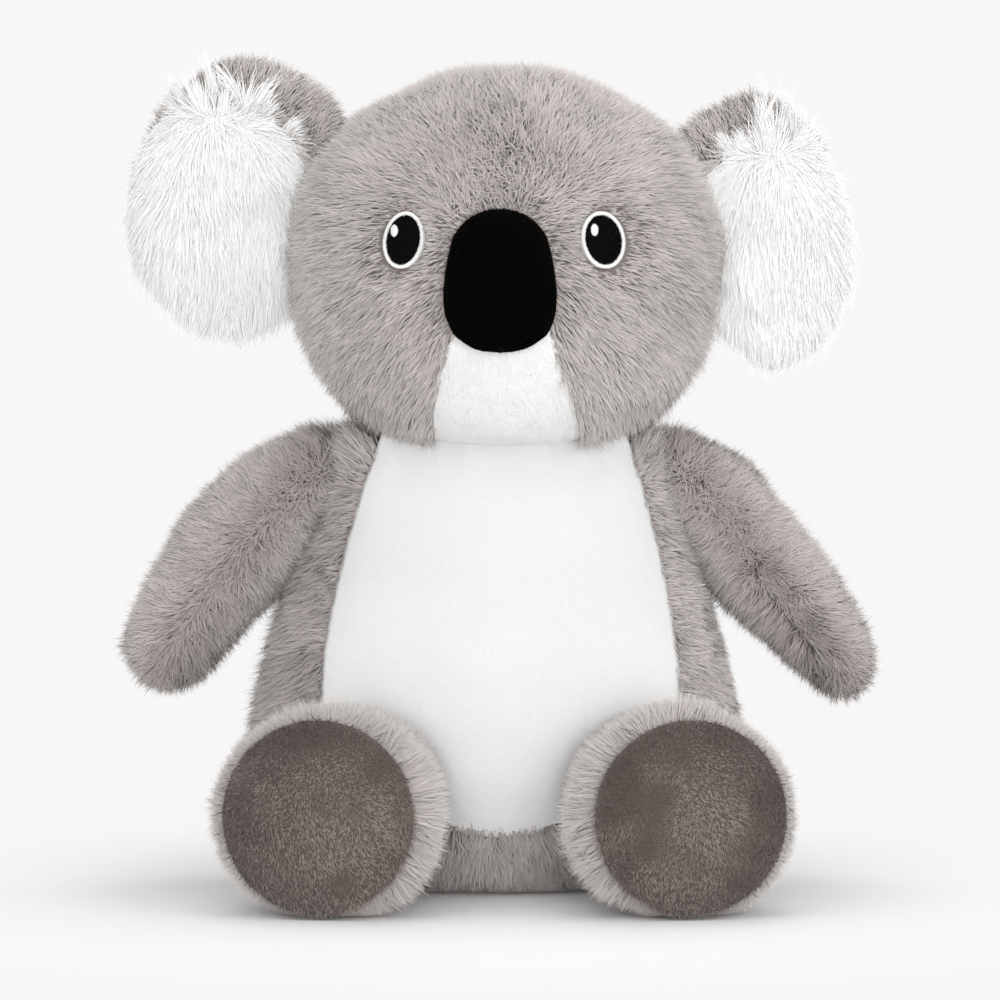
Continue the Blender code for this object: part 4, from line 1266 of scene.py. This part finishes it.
# Nose: black velour, drawn in by puckers at the bottom

nose = {
    "rows": (  # share of the height, then of the half width and of the depth there
        (0, 0, 0), (0.012, 0.29, 0.33), (0.03, 0.45, 0.48), (0.06, 0.60, 0.60), (0.126, 0.83, 0.76),
        (0.177, 0.90, 0.84), (0.228, 0.95, 0.91), (0.30, 0.985, 0.97), (0.43, 1, 1), (0.56, 0.96, 1),
        (0.685, 0.905, 0.97), (0.81, 0.82, 0.88), (0.89, 0.67, 0.74), (0.94, 0.52, 0.58), (0.985, 0.28, 0.32),
        (1, 0, 0),
    ),
    "depth": 27.5 * mm,
    "up": 1.7 * mm,
    "puckers": 13,
    "puckerTop": 0.26,  # share of the height
    "pucker": 0.06,
    "scallop": 0.9 * mm,
    "pileBack": 26 * mm,  # the pile ends this far behind the tip
}
nosePile = {
    "strands": 7000, "length": 1.5 * mm, "width": 0.35 * mm, "rise": 60, "lie": 40, "seed": 91,
    "tuft": 2 * mm,
}


def makeNose():
    bm = bmesh.new()
    bmesh.ops.create_icosphere(bm, subdivisions=6, radius=1.0)
    wide, tall = (noseHigh.x - noseLow.x) / 2, noseHigh.z - noseLow.z
    heights, halfWidths, depths = zip(*nose["rows"])
    for v in bm.verts:
        height = (v.co.z + 1) / 2
        around = math.atan2(v.co.y, v.co.x)
        low = max(0.0, 1 - height / nose["puckerTop"])
        uneven = around * nose["puckers"] + 0.7 * math.sin(3 * around)
        fold = 1 - nose["pucker"] * low * (1 - math.cos(uneven))
        half = float(np.interp(height, heights, halfWidths)) * wide * fold
        deep = float(np.interp(height, heights, depths)) * nose["depth"] * fold
        lift = nose["up"] + tall * height - nose["scallop"] * low * math.cos(around * nose["puckers"])
        x, y = noseMiddle[0] + half * math.cos(around), noseLow.y + nose["depth"] + deep * math.sin(around)
        v.co = Vector((x, y, noseLow.z + lift))
    relax(bm, 2)
    return meshFrom(bm, "nose")


nosePiece = addPiece("nose", makeNose(), "head", "black_velour", blackVelour)
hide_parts("nose_skin", "nose_stuffing")
growFur(
    "nosePile", nosePiece.data, "head", "blackPile", nosePile,
    lambda points, normals: np.array([0.1, 0, -1.0]),
    lambda points: np.where(points[:, 1] < noseLow.y + nose["pileBack"], 1.0, 0.0),
)
report("nose")


# Eyes: satin stitches over a raised oval

stitch = {
    "spacing": 0.42 * mm,
    "thick": 0.50 * mm,
    "ringOut": 0.1 * mm,
    "slant": 0.03,  # radians
    "row": 0.45 * mm,
    "run": 4.6 * mm,
    "trim": 0.3 * mm,  # the raised ovals end this far inside
    "proud": 5.0 * mm,  # over the cloth under the fur
}
glint = {"left": 4.2 * mm, "up": 4.4 * mm, "halfWidth": 1.9 * mm, "halfHeight": 2.8 * mm}


# The point on the face at x and z, this far above the cloth, and the way out there
def onFace(x, z, proud):
    aimX, aimZ = x, z
    for _ in range(3):
        hit, normal, _, _ = headTree.ray_cast(Vector((aimX, -0.4, aimZ)), Vector((0, 1, 0)))
        aimX, aimZ = x - normal.x * proud, z - normal.z * proud
    return hit + normal * proud, normal


# One thread from start to end, a thin grain that lies on the eye
def addStitch(bm, start, end, normal):
    way = end - start
    made = bmesh.ops.create_uvsphere(bm, u_segments=6, v_segments=5, radius=1.0)["verts"]
    z = way.normalized()
    x = normal.cross(z).normalized()
    turn = Matrix((x, z.cross(x), z)).transposed()
    half = stitch["thick"] / 2
    for v in made:
        v.co = (start + end) / 2 + turn @ Vector((v.co.x * half, v.co.y * half, v.co.z * way.length / 2))


# A piece of threads, each from one (x, z) to another
def stitchedPiece(name, lines, proud, material, slot, node):
    bm = bmesh.new()
    for (x1, z1), (x2, z2) in lines:
        start, normal = onFace(x1, z1, proud)
        addStitch(bm, start, onFace(x2, z2, proud)[0], normal)
    piece = addPiece(name, meshFrom(bm, name), "head", slot, material)
    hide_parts(node)


def turned(middle, lean, x, z):
    c, s = math.cos(lean), math.sin(lean)
    return middle.x + x * c - z * s, middle.z + x * s + z * c


# A raised oval that the threads lie on, a little smaller than they reach
def plug(name, middle, reach, lean, low, high, material, slot):
    half = [far - stitch["trim"] for far in reach]
    bm = bmesh.new()
    bmesh.ops.create_circle(bm, cap_ends=True, segments=48, radius=1.0)
    for _ in range(4):
        bmesh.ops.inset_region(bm, faces=[f for f in bm.faces if len(f.verts) > 4], thickness=0.2)
    bmesh.ops.poke(bm, faces=[f for f in bm.faces if len(f.verts) > 4])
    for v in bm.verts:
        v.co = onFace(*turned(middle, lean, v.co.x * half[0], v.co.y * half[1]), high)[0]
    closePatch(bm, high - low)
    addPiece(name, meshFrom(bm, name), "head", slot, material)


# Turns a patch's faces to the front and gives it a thickness behind them
def closePatch(bm, thickness):
    bmesh.ops.recalc_face_normals(bm, faces=bm.faces)
    if sum(f.normal.y for f in bm.faces) > 0:
        bmesh.ops.reverse_faces(bm, faces=bm.faces)
    bm.normal_update()
    ways = {v: v.normal.copy() for v in bm.verts}
    bmesh.ops.extrude_face_region(bm, geom=list(bm.faces), use_keep_orig=True)
    for v, way in ways.items():
        v.co -= way * thickness
    bmesh.ops.recalc_face_normals(bm, faces=bm.faces)


def ringLines(middle, lean, inner, outer, rng):
    count = int(math.pi * (outer[0] + outer[1]) / stitch["spacing"])
    far = [half + stitch["ringOut"] for half in outer]
    lines = []
    for k in range(count):
        a = 2 * math.pi * k / count
        b = a + stitch["slant"]
        ragged = rng.uniform(-0.3, 0.25) * mm
        start = turned(middle, lean, (inner[0] + ragged) * math.cos(a), (inner[1] + ragged) * math.sin(a))
        lines.append((start, turned(middle, lean, far[0] * math.cos(b), far[1] * math.sin(b))))
    return lines


# Rows of overlapping upright stitches
def pupilLines(middle, lean, inner, rng):
    lines = []
    rows = int(2 * inner[0] / stitch["row"])
    for k in range(rows):
        x = -inner[0] + 2 * inner[0] * (k + 0.5) / rows
        tall = inner[1] * math.sqrt(max(0.0, 1 - (x / inner[0]) ** 2)) + rng.uniform(-0.2, 0.3) * mm
        z, run = -tall, stitch["run"] * (0.4 + 0.6 * ((k * 0.38) % 1))
        while z < tall - 0.3 * mm:
            end = min(tall, z + run)
            lines.append((turned(middle, lean, x, z - 0.2 * mm), turned(middle, lean, x, end)))
            z, run = end, stitch["run"]
    return lines


def glintLines(spot, rng):
    lines = []
    rows = int(2 * glint["halfHeight"] / stitch["row"])
    for k in range(rows):
        z = -glint["halfHeight"] + 2 * glint["halfHeight"] * (k + 0.5) / rows
        wide = glint["halfWidth"] * math.sqrt(max(0.0, 1 - (z / glint["halfHeight"]) ** 2))
        ends = (spot.x - wide - rng.uniform(0, 0.2) * mm, spot.x + wide + rng.uniform(0, 0.2) * mm)
        lines.append(((ends[0], spot.z + z), (ends[1], spot.z + z)))
    return lines


def makeEye(side, sign):
    rng = np.random.default_rng(101 + sign)
    middle, lean, proud = eyeMiddle(side), sign * eye["lean"], stitch["proud"]
    outer = (eye["halfWidth"][side], eye["halfHeight"])
    inner = (outer[0] - eye["ring"], outer[1] - eye["ring"])
    white, black = (whiteThread, "white_thread"), (blackThread, "black_thread")
    plug(f"{side}EyePad", middle, outer, lean, 0.0, proud - 0.25 * mm, *white)
    lines = ringLines(middle, lean, inner, outer, rng)
    stitchedPiece(f"{side}EyeRing", lines, proud, *white, f"{side}_eye_ring")
    plug(f"{side}PupilPad", middle, inner, lean, proud - 0.8 * mm, proud + 0.05 * mm, *black)
    lines = pupilLines(middle, lean, inner, rng)
    stitchedPiece(f"{side}Pupil", lines, proud + 0.1 * mm, *black, f"{side}_eye_pupil")
    spot = Vector((middle.x - glint["left"], 0, middle.z + glint["up"]))
    small = (glint["halfWidth"], glint["halfHeight"])
    plug(f"{side}GlintPad", spot, small, 0.0, proud - 0.2 * mm, proud + 0.3 * mm, *white)
    stitchedPiece(f"{side}Glint", glintLines(spot, rng), proud + 0.35 * mm, *white, f"{side}_eye_glint")


for side, sign in sideSign.items():
    makeEye(side, sign)
report("eyes")


# Belly panel: smooth cloth with soft puckers along its seam

panelCloth = {
    "columns": 60,
    "rows": 110,
    "tuck": 1.6 * mm,
    "lift": 1.9 * mm,
    "swell": 0.8 * mm,
    "thick": 1.2 * mm,
    "pucker": 0.15 * mm,
    "puckerStep": 26 * mm,
    "steepest": 0.5,
    "sag": 2.6 * mm,
}


# The point of the body's cloth in front, at x and z. Over the shoulder it goes on straight up.
def onBody(x, z):
    level = z
    while True:
        hit, normal, _, _ = bodyTree.ray_cast(Vector((x, -0.4, level)), Vector((0, 1, 0)))
        if hit is not None and normal.z < panelCloth["steepest"]:
            break
        level -= 1 * mm
    slope = normal.z / math.hypot(normal.x, normal.y)
    return hit + Vector((0, slope, 1)) * (z - level), normal


def makePanel():
    bm = bmesh.new()
    bmesh.ops.create_grid(bm, x_segments=panelCloth["columns"], y_segments=panelCloth["rows"], size=1.0)
    tuck = panelCloth["tuck"]
    low, high = panel["bottom"] - tuck, panel["shownTop"]
    for v in bm.verts:
        across, up = v.co.x, (v.co.y + 1) / 2
        z = low + (high - low) * up**1.25
        sag = panelCloth["sag"] * (1 - across**2) * (1 - up) ** 12
        drop = min(0.97, max(0.0, (panel["middle"] - z) / (panel["middle"] - low)))
        wide = float(panelHalf(max(z, panel["middle"]))) * math.sqrt(1 - drop**2) + tuck * (1 - drop**8)
        hit, normal = onBody(float(panelMiddle(z)) + across * wide, z - sag)
        edge = max(0.0, (abs(across) - 0.86) / 0.14)
        wave = math.sin(2 * math.pi * z / panelCloth["puckerStep"]) * panelCloth["pucker"] * edge
        v.co = hit + normal * (panelCloth["lift"] + wave + panelCloth["swell"] * (1 - edge))
    closePatch(bm, panelCloth["thick"])
    piece = addPiece("bellyPanel", meshFrom(bm, "bellyPanel"), "body", "white_cloth", whiteCloth)
    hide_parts("belly_panel")


makePanel()
report("belly panel")


# Zip in the underside


def zipMaterials():
    tape = backingMaterial("zipTape", srgb(150, 142, 138), 1400)
    nylon = threadMaterial("zipNylon", srgb(176, 172, 168), 0.5)
    metal, tree, shader = newMaterial("zipMetal", 0.32, 0.0, 0.5)
    scratches = noiseNode(tree, 1.0, 4.0, (300, 4000, 4000))
    brushed = rampNode(tree, scratches, (0.3, srgb(176, 176, 179)), (0.7, srgb(205, 205, 208)))
    setInputs(tree, shader, {"Base Color": brushed, "Metallic": 1.0})
    return {"zip_tape": tape, "zip_teeth": nylon, "zip_slider": metal}


for node, material in zipMaterials().items():
    carried = frame["nodes"][node]
    carried.data.materials.clear()
    carried.data.materials.append(material)
report("zip")

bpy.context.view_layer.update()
report("done")
